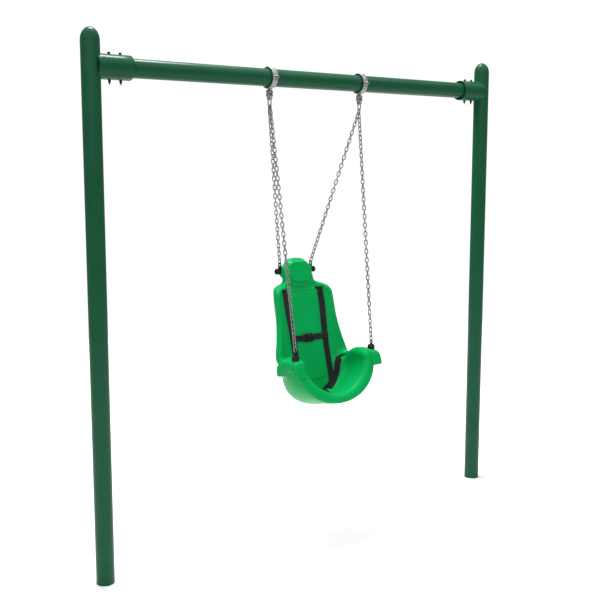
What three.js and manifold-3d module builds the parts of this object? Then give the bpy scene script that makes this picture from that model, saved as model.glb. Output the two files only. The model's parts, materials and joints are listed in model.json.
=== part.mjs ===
// A single-bay swing with an adaptive full-support seat: two posts, a top rail in bolted sockets, two beam
// clamps with pendulum hangers, four chains, and a moulded bucket seat with a webbing harness.
// Millimetres. +Z is up, +X runs along the rail, and a rider faces -Y. The origin is on the ground, midway
// between the posts.

import * as THREE from "three";
import { mergeVertices } from "three/addons/utils/BufferGeometryUtils.js";
import Module from "manifold-3d";

const wasm = await Module();
wasm.setup();

// ---- driving dimensions ----

const GAP = 0.3; // between touching pieces

const POST_SPACING = 2590; // between the post axes
const POST_R = 44.45; // 3.5 in tube
const TUBE_WALL = 4.8;
const POST_TOP = 2549; // where the dome cap starts
const CAP_RISE = 60;
const RAIL_Z = 2438; // rail axis, 8 ft above the ground
const RAIL_R = 44.45;
const RAIL_END_GAP = 7; // between a rail end and the post's surface

const SOCKET_R = 57.15; // 4.5 in sleeve
const SOCKET_WALL = 6;
const SOCKET_START = 18; // from the post axis
const SOCKET_END = 195;
const SOCKET_BOLTS_X = [91, 148]; // from the post axis
const BOLT_R = 5;
const BOLT_HOLE_R = 5.6;

const HANGER_X = 305; // from the middle of the rail
const CLAMP_R = 55.5;
const CLAMP_WIDTH = 32;
const CLAMP_EAR = 18; // how far an ear stands out of the ring
const CLAMP_EAR_THICK = 4.5;
const CLAMP_EAR_WIDTH = 20;
const CLAMP_BOLT_Y = CLAMP_R + 10;
const CLAMP_BOLT_R = 3;
const PIVOT_DROP = 71; // from the rail axis to the pivot axis
const PIVOT_R = 5;
const LUG_THICK = 12;
const CHEEK_THICK = 8;
const CHEEK_R = 11;
const TONGUE_THICK = 10;
const TONGUE_R = 9;
const SHACKLE_PIN_DROP = 105.5;
const SHACKLE_PIN_R = 3.6;
const SHACKLE_WIRE_R = 3.2;
const SHACKLE_EYE_R = 7.5;
const SHACKLE_HALF = 9; // from the middle to an arm's axis
const SHACKLE_BOTTOM = 142.8; // the bow's axis below the rail axis

const CHAIN_R = 4.8; // a plain bar with the weight of 5.5 mm proof coil chain

const FRONT_FITTING = { x: 264, y: -164, z: 985.5 }; // on top of an arm lip
const REAR_FITTING = { x: 104, y: 182, z: 1413 }; // on the outer end of a headrest ear
const INSERT_R = 9; // the threaded insert that a front eye bolt screws into
const INSERT_DEPTH = 34;
const REAR_BOLT_R = 7;
const REAR_BOLT_DEPTH = 26;
const FIT = 0.7; // radial room round a bolt, pin or insert in its hole

const STRAP_WIDTH = 38;
const STRAP_THICK = 2.6;
const CHEST_Z = 1052;

// ---- materials ----

const finish = (color, roughness, metalness) =>
  new THREE.MeshStandardMaterial({ color, roughness, metalness });
const greenPaint = finish(0x255b40, 0.25, 0.2);
const darkSteel = finish(0x26332c, 0.5, 0.8);
const galvanised = finish(0x9a9d9c, 0.45, 0.9);
const greenPlastic = finish(0x109e4c, 0.4, 0);
const blackPlastic = finish(0x1d1b20, 0.5, 0);
const webbing = finish(0x2a272c, 0.9, 0);

// ---- shape helpers ----

// Turns a geometry's faces round if they point inwards.
function facingOut(geometry) {
  const g = geometry.index ? geometry : mergeVertices(bare(geometry));
  const p = g.attributes.position;
  const [a, b, c] = [new THREE.Vector3(), new THREE.Vector3(), new THREE.Vector3()];
  let volume = 0;
  for (let i = 0; i < g.index.count; i += 3) {
    a.fromBufferAttribute(p, g.index.getX(i));
    b.fromBufferAttribute(p, g.index.getX(i + 1));
    c.fromBufferAttribute(p, g.index.getX(i + 2));
    volume += a.dot(b.cross(c));
  }
  if (volume < 0) g.setIndex([...g.index.array].reverse());
  return g;
}

// A copy with positions only, which is what a boolean works on.
function bare(geometry) {
  const g = geometry.clone();
  g.deleteAttribute("normal");
  g.deleteAttribute("uv");
  return g;
}

function solid(geometry) {
  const g = facingOut(mergeVertices(bare(geometry), 1e-3));
  const vertProperties = g.attributes.position.array;
  const triVerts = new Uint32Array(g.index.array);
  return new wasm.Manifold(new wasm.Mesh({ numProp: 3, vertProperties, triVerts }));
}

function geometryOf(manifold) {
  const { vertProperties, triVerts } = manifold.getMesh();
  const g = new THREE.BufferGeometry();
  g.setAttribute("position", new THREE.BufferAttribute(vertProperties, 3));
  g.setIndex(new THREE.BufferAttribute(triVerts, 1));
  return g;
}

const join = (...parts) => geometryOf(parts.map(solid).reduce((all, part) => all.add(part)));
const cut = (body, ...tools) =>
  geometryOf(tools.map(solid).reduce((all, tool) => all.subtract(tool), solid(body)));

// A solid of revolution about Z, from [radius, z] points that close on themselves or start and end on the
// axis.
function turned(points, segments = 24) {
  const profile = points.map(([r, z]) => new THREE.Vector2(r, z));
  const lathe = mergeVertices(bare(new THREE.LatheGeometry(profile, segments)), 1e-4);
  return facingOut(lathe.rotateX(Math.PI / 2));
}

function ring(outer, inner, low, high, segments) {
  return turned([[inner, low], [outer, low], [outer, high], [inner, high], [inner, low]], segments);
}

function rod(radius, low, high, segments = 12) {
  return turned([[0, low], [radius, low], [radius, high], [0, high]], segments);
}

// Turns a solid that was made along Z so that it lies along X.
const alongX = (geometry) => geometry.clone().rotateY(Math.PI / 2);
const at = (geometry, x, y, z) => geometry.clone().translate(x, y, z);
const block = (x, y, z) => new THREE.BoxGeometry(x, y, z);

// A flat shape drawn in (y, z) and given a thickness along X, centred on x = 0.
function plateYZ(shape, thickness, curveSegments = 8) {
  const g = new THREE.ExtrudeGeometry(shape, { depth: thickness, bevelEnabled: false, curveSegments });
  const axes = new THREE.Matrix4().makeBasis(
    new THREE.Vector3(0, 1, 0), new THREE.Vector3(0, 0, 1), new THREE.Vector3(1, 0, 0));
  return g.translate(0, 0, -thickness / 2).applyMatrix4(axes);
}

// A plate outline in (y, z) with round ends of radius r, from (0, low) to (0, high).
function stadium(r, low, high) {
  const shape = new THREE.Shape();
  shape.absarc(0, low, r, Math.PI, 2 * Math.PI, false);
  shape.absarc(0, high, r, 0, Math.PI, false);
  shape.closePath();
  return shape;
}

// A solid skinned over closed rings of equal length; flat(v, i) places an end ring's points in its own plane.
function loft(rings, flat) {
  const n = rings[0].length;
  const positions = rings.flat().flatMap((v) => [v.x, v.y, v.z]);
  const index = [];
  for (let i = 0; i + 1 < rings.length; i++) {
    for (let j = 0; j < n; j++) {
      const k = (j + 1) % n;
      const [a, b, c, d] = [i * n + j, i * n + k, (i + 1) * n + k, (i + 1) * n + j];
      index.push(a, b, c, a, c, d);
    }
  }
  const caps = [[rings[0], 0, true], [rings.at(-1), (rings.length - 1) * n, false]];
  for (const [loop, base, reversed] of caps) {
    for (const [a, b, c] of capFaces(loop.map(flat))) {
      index.push(base + a, base + (reversed ? c : b), base + (reversed ? b : c));
    }
  }
  const g = new THREE.BufferGeometry();
  g.setAttribute("position", new THREE.Float32BufferAttribute(positions, 3));
  g.setIndex(index);
  return facingOut(g);
}

// The triangles of a flat loop, turned the same way round as the loop itself.
function capFaces(points) {
  const faces = THREE.ShapeUtils.triangulateShape(points, []);
  const [a, b, c] = faces[0].map((i) => points[i]);
  const turn = (b.x - a.x) * (c.y - a.y) - (b.y - a.y) * (c.x - a.x);
  const same = Math.sign(turn) === Math.sign(THREE.ShapeUtils.area(points));
  return same ? faces : faces.map(([i, j, k]) => [i, k, j]);
}

// A flat strap through the points, with its width along the given direction.
function ribbon(points, width = STRAP_WIDTH, thick = STRAP_THICK, across = new THREE.Vector3(1, 0, 0)) {
  const curve = new THREE.CatmullRomCurve3(points.map((p) => new THREE.Vector3(...p)), false, "centripetal");
  const steps = (points.length - 1) * 2;
  const rings = [];
  for (let i = 0; i <= steps; i++) {
    const centre = curve.getPointAt(i / steps);
    const tangent = curve.getTangentAt(i / steps);
    const side = across.clone().addScaledVector(tangent, -across.dot(tangent)).normalize();
    const normal = new THREE.Vector3().crossVectors(tangent, side).multiplyScalar(thick / 2);
    side.multiplyScalar(width / 2);
    const corner = (s, t) => centre.clone().addScaledVector(side, s).addScaledVector(normal, t);
    rings.push([corner(-1, -1), corner(1, -1), corner(1, 1), corner(-1, 1)]);
  }
  const square = [[0, 0], [1, 0], [1, 1], [0, 1]];
  return loft(rings, (v, i) => new THREE.Vector2(...square[i]));
}

// A straight bar between two points.
function bar(from, to, radius, segments = 8) {
  const [a, b] = [new THREE.Vector3(...from), new THREE.Vector3(...to)];
  const direction = b.clone().sub(a);
  const heading = direction.clone().normalize();
  const turn = new THREE.Quaternion().setFromUnitVectors(new THREE.Vector3(0, 0, 1), heading);
  return rod(radius, 0, direction.length(), segments).applyQuaternion(turn).translate(a.x, a.y, a.z);
}

const swingSet = new THREE.Group();

function add(name, geometry, material, parent = swingSet) {
  const mesh = new THREE.Mesh(geometry, material);
  mesh.name = name;
  parent.add(mesh);
  return mesh;
}

const sides = [["left", -1], ["right", 1]];
const ends = [["front", -1], ["rear", 1]];

// ---- posts, caps, sockets and rail ----

function postCap() {
  const spigotR = POST_R - TUBE_WALL - 1;
  const profile = [[0, -25], [spigotR, -25], [spigotR, GAP], [POST_R, GAP]];
  const steps = 5;
  for (let i = 1; i <= steps; i++) {
    const angle = (i / steps) * (Math.PI / 2);
    profile.push([i === steps ? 0 : POST_R * Math.cos(angle), GAP + CAP_RISE * Math.sin(angle)]);
  }
  return turned(profile, 20);
}

// A sleeve along X whose end is cut round the post that it is welded to.
function railSocket() {
  const sleeve = alongX(ring(SOCKET_R, SOCKET_R - SOCKET_WALL, SOCKET_START, SOCKET_END, 20));
  const holes = SOCKET_BOLTS_X.map((x) => at(rod(BOLT_HOLE_R, -80, 80, 8), x, 0, 0));
  return cut(sleeve, rod(POST_R + GAP, -80, 80, 24), ...holes);
}

function socketBolt() {
  const hexHead = turned([[0, 0], [7.6, 0], [7.6, 8], [6.2, 10], [0, 10]], 6);
  return join(at(hexHead, 0, 0, SOCKET_R + GAP), rod(BOLT_R, -SOCKET_R - 14, SOCKET_R + 2, 8));
}

function acornNut() {
  const low = -SOCKET_R - GAP;
  const profile = [[6.2, low], [8.4, low], [8.4, low - 9], [7.2, low - 14], [4, low - 19], [0, low - 21]];
  return turned([...profile, [0, low - 16], [6.2, low - 16], [6.2, low]], 6);
}

const postX = POST_SPACING / 2;
const railHalf = postX - POST_R - RAIL_END_GAP;
const boltXs = SOCKET_BOLTS_X.map((x) => postX - x);
const railHoles = [...boltXs, ...boltXs.map((x) => -x)].map((x) => at(rod(BOLT_HOLE_R, -60, 60, 8), x, 0, 0));
const rail = alongX(ring(RAIL_R, RAIL_R - TUBE_WALL, -railHalf, railHalf, 24));
add("top_rail", at(cut(rail, ...railHoles), 0, 0, RAIL_Z), greenPaint);

for (const [side, sign] of sides) {
  const inwards = sign < 0 ? railSocket() : railSocket().rotateZ(Math.PI);
  add(`${side}_post`, at(ring(POST_R, POST_R - TUBE_WALL, 0, POST_TOP, 24), sign * postX, 0, 0), greenPaint);
  add(`${side}_post_cap`, at(postCap(), sign * postX, 0, POST_TOP), greenPaint);
  add(`${side}_rail_socket`, at(inwards, sign * postX, 0, RAIL_Z), greenPaint);
  boltXs.forEach((x, i) => {
    const place = ["outer", "inner"][i];
    add(`${side}_${place}_socket_bolt`, at(socketBolt(), sign * x, 0, RAIL_Z), darkSteel);
    add(`${side}_${place}_acorn_nut`, at(acornNut(), sign * x, 0, RAIL_Z), darkSteel);
  });
}

// ---- beam clamps, pendulums and shackles ----

// Half a clamp ring with an ear at each end, above the rail axis, as a plate across X.
function clampHalf() {
  const shape = new THREE.Shape();
  const [inner, low, high] = [RAIL_R + GAP, 0.5, 0.5 + CLAMP_EAR_THICK];
  const end = Math.asin(low / inner);
  const start = Math.asin(high / CLAMP_R);
  const tip = CLAMP_R + CLAMP_EAR;
  shape.moveTo(tip, low);
  shape.lineTo(tip, high);
  shape.absarc(0, 0, CLAMP_R, start, Math.PI - start, false);
  shape.lineTo(-tip, high);
  shape.lineTo(-tip, low);
  shape.absarc(0, 0, inner, Math.PI - end, end, true);
  const half = plateYZ(shape, CLAMP_WIDTH, 6);
  const spare = (CLAMP_WIDTH - CLAMP_EAR_WIDTH) / 2;
  const notches = [];
  for (const y of [-1, 1]) {
    for (const x of [-1, 1]) {
      const notch = block(spare + 1, CLAMP_EAR, 20);
      notches.push(at(notch, x * (CLAMP_EAR_WIDTH + spare + 1) / 2, y * (tip - CLAMP_EAR / 2 + 1.2), 3));
    }
    notches.push(at(rod(CLAMP_BOLT_R + 0.5, -20, 20, 8), 0, y * CLAMP_BOLT_Y, 0));
  }
  return cut(half, ...notches);
}

function lowerClampHalf() {
  const lug = plateYZ(stadium(CHEEK_R, -PIVOT_DROP, -CLAMP_R + 2), LUG_THICK, 3);
  const bore = alongX(rod(RAIL_R + GAP, -30, 30, 20));
  const pinHole = at(alongX(rod(PIVOT_R + 0.6, -30, 30, 10)), 0, 0, -PIVOT_DROP);
  return cut(join(clampHalf().rotateX(Math.PI), lug), bore, pinHole);
}

// A fork whose cheeks hang on the pivot pin either side of the clamp's lug, with a tongue for the shackle.
function pendulum() {
  const cheekX = LUG_THICK / 2 + 0.7 + CHEEK_THICK / 2;
  const cheek = plateYZ(stadium(CHEEK_R, -84, -PIVOT_DROP), CHEEK_THICK, 3);
  const bridge = at(block(2 * cheekX + CHEEK_THICK, 2 * CHEEK_R, 9), 0, 0, -92.5);
  const tongue = plateYZ(stadium(TONGUE_R, -SHACKLE_PIN_DROP, -94), TONGUE_THICK, 3);
  const body = join(at(cheek, -cheekX, 0, 0), at(cheek, cheekX, 0, 0), bridge, tongue);
  const pivotHole = at(alongX(rod(PIVOT_R + 0.6, -30, 30, 10)), 0, 0, -PIVOT_DROP);
  const shackleHole = at(alongX(rod(SHACKLE_PIN_R + 0.5, -30, 30, 8)), 0, 0, -SHACKLE_PIN_DROP);
  return cut(body, pivotHole, shackleHole);
}

// A pin along X with a head at each end, so that nothing can slide off it.
function headedPin(radius, half, headR, headThick) {
  const profile = [[0, -half - headThick], [headR, -half - headThick], [headR, -half], [radius, -half]];
  return alongX(turned([...profile, ...profile.map(([r, z]) => [r, -z]).reverse()], 8));
}

function shackle() {
  const straight = SHACKLE_BOTTOM - SHACKLE_HALF - SHACKLE_PIN_DROP;
  const path = new THREE.CurvePath();
  const down = (x, from, to) =>
    new THREE.LineCurve3(new THREE.Vector3(x, 0, from), new THREE.Vector3(x, 0, to));
  path.add(down(-SHACKLE_HALF, 0, -straight));
  const bow = [0, 1, 2, 3, 4, 5, 6].map((i) => {
    const angle = Math.PI + (i / 6) * Math.PI;
    return new THREE.Vector3(SHACKLE_HALF * Math.cos(angle), 0, -straight + SHACKLE_HALF * Math.sin(angle));
  });
  for (let i = 0; i + 1 < bow.length; i++) path.add(new THREE.LineCurve3(bow[i], bow[i + 1]));
  path.add(down(SHACKLE_HALF, -straight, 0));
  const section = new THREE.Shape().absarc(0, 0, SHACKLE_WIRE_R, 0, 2 * Math.PI, false);
  const wire = new THREE.ExtrudeGeometry(section, { steps: 12, extrudePath: path, curveSegments: 3 });
  const eye = alongX(rod(SHACKLE_EYE_R, -3, 3, 10));
  const hole = alongX(rod(SHACKLE_PIN_R + 0.5, -30, 30, 8));
  const body = join(wire, at(eye, -SHACKLE_HALF, 0, 0), at(eye, SHACKLE_HALF, 0, 0));
  return at(cut(body, hole), 0, 0, -SHACKLE_PIN_DROP);
}

const earStack = 0.5 + CLAMP_EAR_THICK + GAP; // from the seam to an ear's outer face
const cheekOut = LUG_THICK / 2 + 0.7 + CHEEK_THICK;

for (const [side, sign] of sides) {
  const hanger = new THREE.Group();
  hanger.position.set(sign * HANGER_X, 0, RAIL_Z);
  swingSet.add(hanger);
  add(`${side}_clamp_upper_half`, clampHalf(), galvanised, hanger);
  add(`${side}_clamp_lower_half`, lowerClampHalf(), galvanised, hanger);
  for (const [end, along] of ends) {
    const head = at(turned([[0, 0], [5.5, 0], [5, 4], [0, 4]], 8), 0, 0, earStack);
    const bolt = join(head, rod(CLAMP_BOLT_R, -earStack - 6, earStack + 1, 8));
    const nut = ring(5.8, 3.9, -earStack - 5, -earStack, 6);
    add(`${side}_clamp_${end}_bolt`, at(bolt, 0, along * CLAMP_BOLT_Y, 0), galvanised, hanger);
    add(`${side}_clamp_${end}_nut`, at(nut, 0, along * CLAMP_BOLT_Y, 0), galvanised, hanger);
  }
  const pivotPin = at(headedPin(PIVOT_R, cheekOut + GAP, 8, 3), 0, 0, -PIVOT_DROP);
  add(`${side}_pivot_pin`, pivotPin, galvanised, hanger);
  add(`${side}_pendulum`, pendulum(), galvanised, hanger);
  add(`${side}_shackle`, shackle(), galvanised, hanger);
  const shacklePin = headedPin(SHACKLE_PIN_R, SHACKLE_HALF + 3 + GAP, 5.5, 2.5);
  add(`${side}_shackle_pin`, at(shacklePin, 0, 0, -SHACKLE_PIN_DROP), galvanised, hanger);
}

// ---- seat shell ----

const LEAN = 0.25; // how far the back goes rearwards for each unit of height
const backY = (z) => 120 + LEAN * (z - 1311); // the back's front face on the centre line
const BACK_THICK = 46;
const WRAP = 26; // how far the back's side edges stand forward of its middle

// Heights of the back with its half width there, from the bottom up to the top of the headrest.
const BACK_WIDTHS = [
  [742, 120], [786, 164], [896, 194], [925, 228], [948, 241], [975, 238], [1040, 220], [1140, 202],
  [1270, 195], [1316, 177], [1334, 150], [1344, 108], [1385, 97], [1440, 84], [1472, 52], [1483, 22],
];

// The seat leans as a whole, so the bucket's sections are parallel to the back. A section's place is its distance
// in front of (-) or behind (+) the leaning plane through y = 0 at this height.
const SECTION_Z = 918;

// Stations of the bucket: place, outer half width, outer bottom, inner half width, inner bottom, wall top.
const BUCKET = [
  [-205, 250, 752, 214, 776, 965],
  [-184, 262, 734, 206, 790, 983],
  [-120, 261, 721, 208, 770, 985],
  [-60, 249, 708, 206, 753, 974],
  [0, 227, 696, 194, 736, 946],
  [58, 198, 686, 172, 721, 910],
];
const BUCKET_ROUND = 0.77; // the height of the round part of a wall, as a fraction of its half width

// An arm lip is a block outside the rim, with a rounded top and an arched foot. Its outline is drawn in (y, z).
const LIP = { x: 300, from: 236 };
const LIP_OUTLINE = [
  [-217, 909], [-208, 958], [-196, 976], [-176, 984], [-110, 984], [-72, 972], [-50, 950], [-43, 915],
  [-50, 892], [-65, 891], [-95, 912], [-130, 930], [-172, 931], [-200, 917],
];

// The U of one wall face, from the left top down and round to the right top.
function uPoints(place, half, bottom, top, steps = 10) {
  const rise = Math.min(half * BUCKET_ROUND, top - bottom - 8);
  const point = (x, z) => new THREE.Vector3(x, place + LEAN * (z - SECTION_Z), z);
  const points = [point(-half, top)];
  for (let i = 0; i <= steps; i++) {
    const angle = Math.PI + (i / steps) * Math.PI;
    points.push(point(half * Math.cos(angle), bottom + rise * (1 + Math.sin(angle))));
  }
  points.push(point(half, top));
  return points;
}

function bucket() {
  const rings = BUCKET.map(([place, outer, low, inner, floor, top]) => [
    ...uPoints(place, outer, low, top),
    ...uPoints(place, inner, floor, top).reverse(),
  ]);
  return loft(rings, (v) => new THREE.Vector2(v.x, v.z));
}

// The back as rings at each height, wrapped forward at its sides.
function backPanel() {
  const rings = BACK_WIDTHS.map(([z, half]) => {
    const wrap = z > 1336 ? 0 : WRAP;
    const face = (offset) => [-1, -0.8, -0.55, -0.25, 0.25, 0.55, 0.8, 1].map((t) => {
      const y = backY(z) + offset - wrap * Math.abs(t) ** 3;
      return new THREE.Vector3(half * t, y, z);
    });
    return [...face(0), ...face(BACK_THICK).reverse()];
  });
  return loft(rings, (v) => new THREE.Vector2(v.x, v.y));
}

function armLip(sign) {
  const shape = new THREE.Shape(LIP_OUTLINE.map(([y, z]) => new THREE.Vector2(y, z)));
  return at(plateYZ(shape, LIP.x - LIP.from), sign * (LIP.x + LIP.from) / 2, 0, 0);
}

function headrestPad() {
  const rings = [[-14, 0.9], [-6, 1], [6, 1]].map(([offset, grow]) => {
    const loop = [];
    for (let i = 0; i < 12; i++) {
      const angle = (i / 12) * 2 * Math.PI;
      const round = (v) => Math.sign(v) * Math.abs(v) ** 0.6;
      const z = 1408 + 58 * grow * round(Math.sin(angle));
      loop.push(new THREE.Vector3(72 * grow * round(Math.cos(angle)), backY(z) + offset, z));
    }
    return loop;
  });
  return loft(rings, (v) => new THREE.Vector2(v.x, v.z));
}

const EAR_R = 28;

// An ear is an oval boss on the headrest's side that takes a rear bolt.
function ear(sign) {
  const boss = alongX(rod(EAR_R, 70, REAR_FITTING.x, 14));
  const shaped = sign < 0 ? boss.rotateZ(Math.PI) : boss;
  return at(shaped.scale(1, 0.75, 1), 0, REAR_FITTING.y, REAR_FITTING.z);
}

const onBack = (x, z, lift) => [x, backY(z) - lift, z];
const SHOULDER_SLOT = { x: 122, z: 1311, width: 44, height: 9 };
const BASE_SLOT = { width: 150, low: 730, high: 780 };

// A shoulder strap comes through its slot, lies down the back, and leaves under it through the base slot.
function shoulderStrap(sign, spare = 0) {
  const { x, z } = SHOULDER_SLOT;
  const points = [
    onBack(sign * x, z, -BACK_THICK - 18), onBack(sign * x, z, -BACK_THICK + 6), onBack(sign * x, z, -4),
    onBack(sign * (x - 1), z - 16, 6), onBack(sign * (x - 2), 1200, 8), onBack(sign * (x - 10), 1050, 8),
    onBack(sign * (x - 11), 930, 9), onBack(sign * (x - 11), 852, 13), onBack(sign * 100, 806, 17),
    onBack(sign * 60, 775, 12), onBack(sign * 46, 762, -14), onBack(sign * 46, 760, -60),
  ];
  return ribbon(points, STRAP_WIDTH + spare, STRAP_THICK + spare);
}

// A lap strap comes out of the hip slot and ends sewn behind the shoulder strap.
function lapStrap(sign, spare = 0) {
  const across = new THREE.Vector3(sign, -0.35, -0.4).normalize();
  const points = [[196, 66, 930], [189, 30, 925], [174, 5, 916], [160, -9, 884], [148, -17, 846]];
  const route = points.map(([x, y, z]) => [sign * x, y, z]);
  return ribbon(route, STRAP_WIDTH - 4 + spare, STRAP_THICK + spare, across);
}

function seatShell() {
  const shell = join(bucket(), backPanel(), headrestPad(), ear(-1), ear(1), armLip(-1), armLip(1));
  const slot = block(SHOULDER_SLOT.width, 140, SHOULDER_SLOT.height);
  const baseSlot = block(BASE_SLOT.width, 130, BASE_SLOT.high - BASE_SLOT.low);
  const tools = [at(baseSlot, 0, 15, (BASE_SLOT.high + BASE_SLOT.low) / 2)];
  for (const sign of [-1, 1]) {
    tools.push(at(slot, sign * SHOULDER_SLOT.x, backY(SHOULDER_SLOT.z), SHOULDER_SLOT.z));
    tools.push(shoulderStrap(sign, 1.4), lapStrap(sign, 1.4));
    const { x, y, z } = FRONT_FITTING;
    tools.push(at(rod(INSERT_R + FIT, z - INSERT_DEPTH - GAP, z + 30, 10), sign * x, y, 0));
    const bolt = alongX(rod(REAR_BOLT_R + FIT, -REAR_BOLT_DEPTH - GAP, 60, 10));
    const turnedBolt = sign < 0 ? bolt.rotateZ(Math.PI) : bolt;
    tools.push(at(turnedBolt, sign * REAR_FITTING.x, REAR_FITTING.y, REAR_FITTING.z));
  }
  return cut(shell, ...tools);
}

add("seat_shell", seatShell(), greenPlastic);

// ---- chain-end fittings on the seat ----

const EYE_R = 9;
const EYE_WIRE_R = 3.5;
const COLLAR_TOP = 30; // of a front collar, above the lip
const EYE_Z = COLLAR_TOP + 13;

function eyeBolt() {
  const eye = new THREE.TorusGeometry(EYE_R, EYE_WIRE_R, 6, 12).rotateY(Math.PI / 2);
  return join(at(eye, 0, 0, EYE_Z), rod(5, -26, EYE_Z - EYE_R + 1, 8));
}

function frontCollar() {
  const top = COLLAR_TOP;
  const profile = [[5.4, GAP + 0.2], [19, GAP + 0.2], [22, 6], [22, top - 9], [17, top - 2], [9, top],
    [5.4, top]];
  return turned([...profile, profile[0]], 10);
}

// A flat loop on the rear bolt that the last chain link hangs in.
const LOOP_THICK = 7;
const LOOP_RISE = 37;
function rearLoop() {
  const plate = plateYZ(stadium(13, 0, LOOP_RISE), LOOP_THICK, 4);
  const boltHole = alongX(rod(REAR_BOLT_R + FIT, -20, 20, 10));
  const chainHole = at(alongX(rod(7, -20, 20, 10)), 0, 0, LOOP_RISE);
  return cut(plate, boltHole, chainHole);
}

function rearKnobBolt(sign) {
  const knobStart = LOOP_THICK + 3 * GAP;
  const profile = [[0, -REAR_BOLT_DEPTH], [REAR_BOLT_R, -REAR_BOLT_DEPTH], [REAR_BOLT_R, knobStart]];
  profile.push([15, knobStart], [18, knobStart + 4], [18, knobStart + 18]);
  profile.push([13, knobStart + 24], [0, knobStart + 26]);
  const bolt = alongX(turned(profile, 10));
  return sign < 0 ? bolt.rotateZ(Math.PI) : bolt;
}

for (const [side, sign] of sides) {
  const front = new THREE.Group();
  front.position.set(sign * FRONT_FITTING.x, FRONT_FITTING.y, FRONT_FITTING.z);
  const rear = new THREE.Group();
  rear.position.set(sign * REAR_FITTING.x, REAR_FITTING.y, REAR_FITTING.z);
  swingSet.add(front, rear);
  add(`front_${side}_eye_bolt`, eyeBolt(), blackPlastic, front);
  add(`front_${side}_collar`, frontCollar(), blackPlastic, front);
  add(`front_${side}_insert`, ring(INSERT_R, 5.9, -INSERT_DEPTH, 0, 10), galvanised, front);
  add(`rear_${side}_loop`, at(rearLoop(), sign * (LOOP_THICK / 2 + GAP), 0, 0), blackPlastic, rear);
  add(`rear_${side}_knob_bolt`, rearKnobBolt(sign), blackPlastic, rear);
}

// ---- chains ----

const chainTopZ = RAIL_Z - SHACKLE_BOTTOM - SHACKLE_WIRE_R - 1.5;
for (const [side, sign] of sides) {
  const frontEnd = [sign * FRONT_FITTING.x, FRONT_FITTING.y, FRONT_FITTING.z + EYE_Z + EYE_R + EYE_WIRE_R + 1];
  const rearX = sign * (REAR_FITTING.x + GAP + LOOP_THICK / 2);
  const rearEnd = [rearX, REAR_FITTING.y, REAR_FITTING.z + LOOP_RISE + 15];
  add(`front_${side}_chain`, bar(frontEnd, [sign * HANGER_X, -6.2, chainTopZ], CHAIN_R), galvanised);
  add(`rear_${side}_chain`, bar(rearEnd, [sign * HANGER_X, 6.2, chainTopZ], CHAIN_R), galvanised);
}

// ---- harness ----

const CHEST_LIFT = 11.4; // the chest strap's middle, in front of the back and the shoulder straps

// Half of the chest strap: flat across the front of a shoulder strap, and level as far as the buckle.
function chestStrap(sign) {
  const y = backY(CHEST_Z) - CHEST_LIFT;
  const up = new THREE.Vector3(0, LEAN, 1).normalize();
  const ends = [sign * 128, sign * 80, BUCKLE.x + sign * BUCKLE.grip];
  return ribbon(ends.map((x) => [x, y, CHEST_Z]), STRAP_WIDTH - 4, STRAP_THICK, up);
}

const BUCKLE = { x: -14, grip: 30.5, half: 30, height: 50, thick: 14, mouth: -8, cavity: 8, cavityHeight: 36 };

// The buckle's socket lies on the right, with its mouth to the left.
function buckleSocket() {
  const { half, height, thick, mouth, cavity, cavityHeight } = BUCKLE;
  const shell = at(block(half - mouth, thick, height), (half + mouth) / 2, 0, 0);
  const room = at(block(half - mouth - 8, cavity, cavityHeight), (half + mouth) / 2 - 8, 0, 0);
  const window = at(block(14, thick + 2, 8), 8, 0, 0);
  return cut(shell, room, at(window, 0, 0, height / 2 - 4), at(window, 0, 0, 4 - height / 2));
}

// The tongue has a grip bar, a centre guide and two spring prongs.
function buckleTongue() {
  const { half, height, thick, mouth, cavity } = BUCKLE;
  const bar = at(block(half + mouth - GAP, thick, height - 4), -(half - mouth) / 2 - GAP / 2, 0, 0);
  const guide = at(block(24, cavity - 2, 6), mouth + 8, 0, 0);
  const prong = at(block(26, cavity - 2, 5), mouth + 9, 0, 0);
  return join(bar, guide, at(prong, 0, 0, 13), at(prong, 0, 0, -13));
}

const harness = new THREE.Group();
harness.position.set(BUCKLE.x, backY(CHEST_Z) - CHEST_LIFT, CHEST_Z);
harness.rotation.x = -Math.atan(LEAN);
swingSet.add(harness);
add("buckle_socket", buckleSocket(), blackPlastic, harness);
add("buckle_tongue", buckleTongue(), blackPlastic, harness);

for (const [side, sign] of sides) {
  add(`${side}_shoulder_strap`, shoulderStrap(sign), webbing);
  add(`${side}_lap_strap`, lapStrap(sign), webbing);
  add(`${side}_chest_strap`, chestStrap(sign), webbing);
}

export default swingSet;
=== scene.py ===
"""A single-bay swing with an adaptive full-support seat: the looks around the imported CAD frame.

Lengths in this script are millimetres until piece() turns them into metres. +Z is up, +X runs along the rail,
and a rider faces -Y. Places come from the CAD nodes' boxes.
"""

import json
import math

import bpy
import numpy as np
from mathutils import Matrix, Vector

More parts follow.
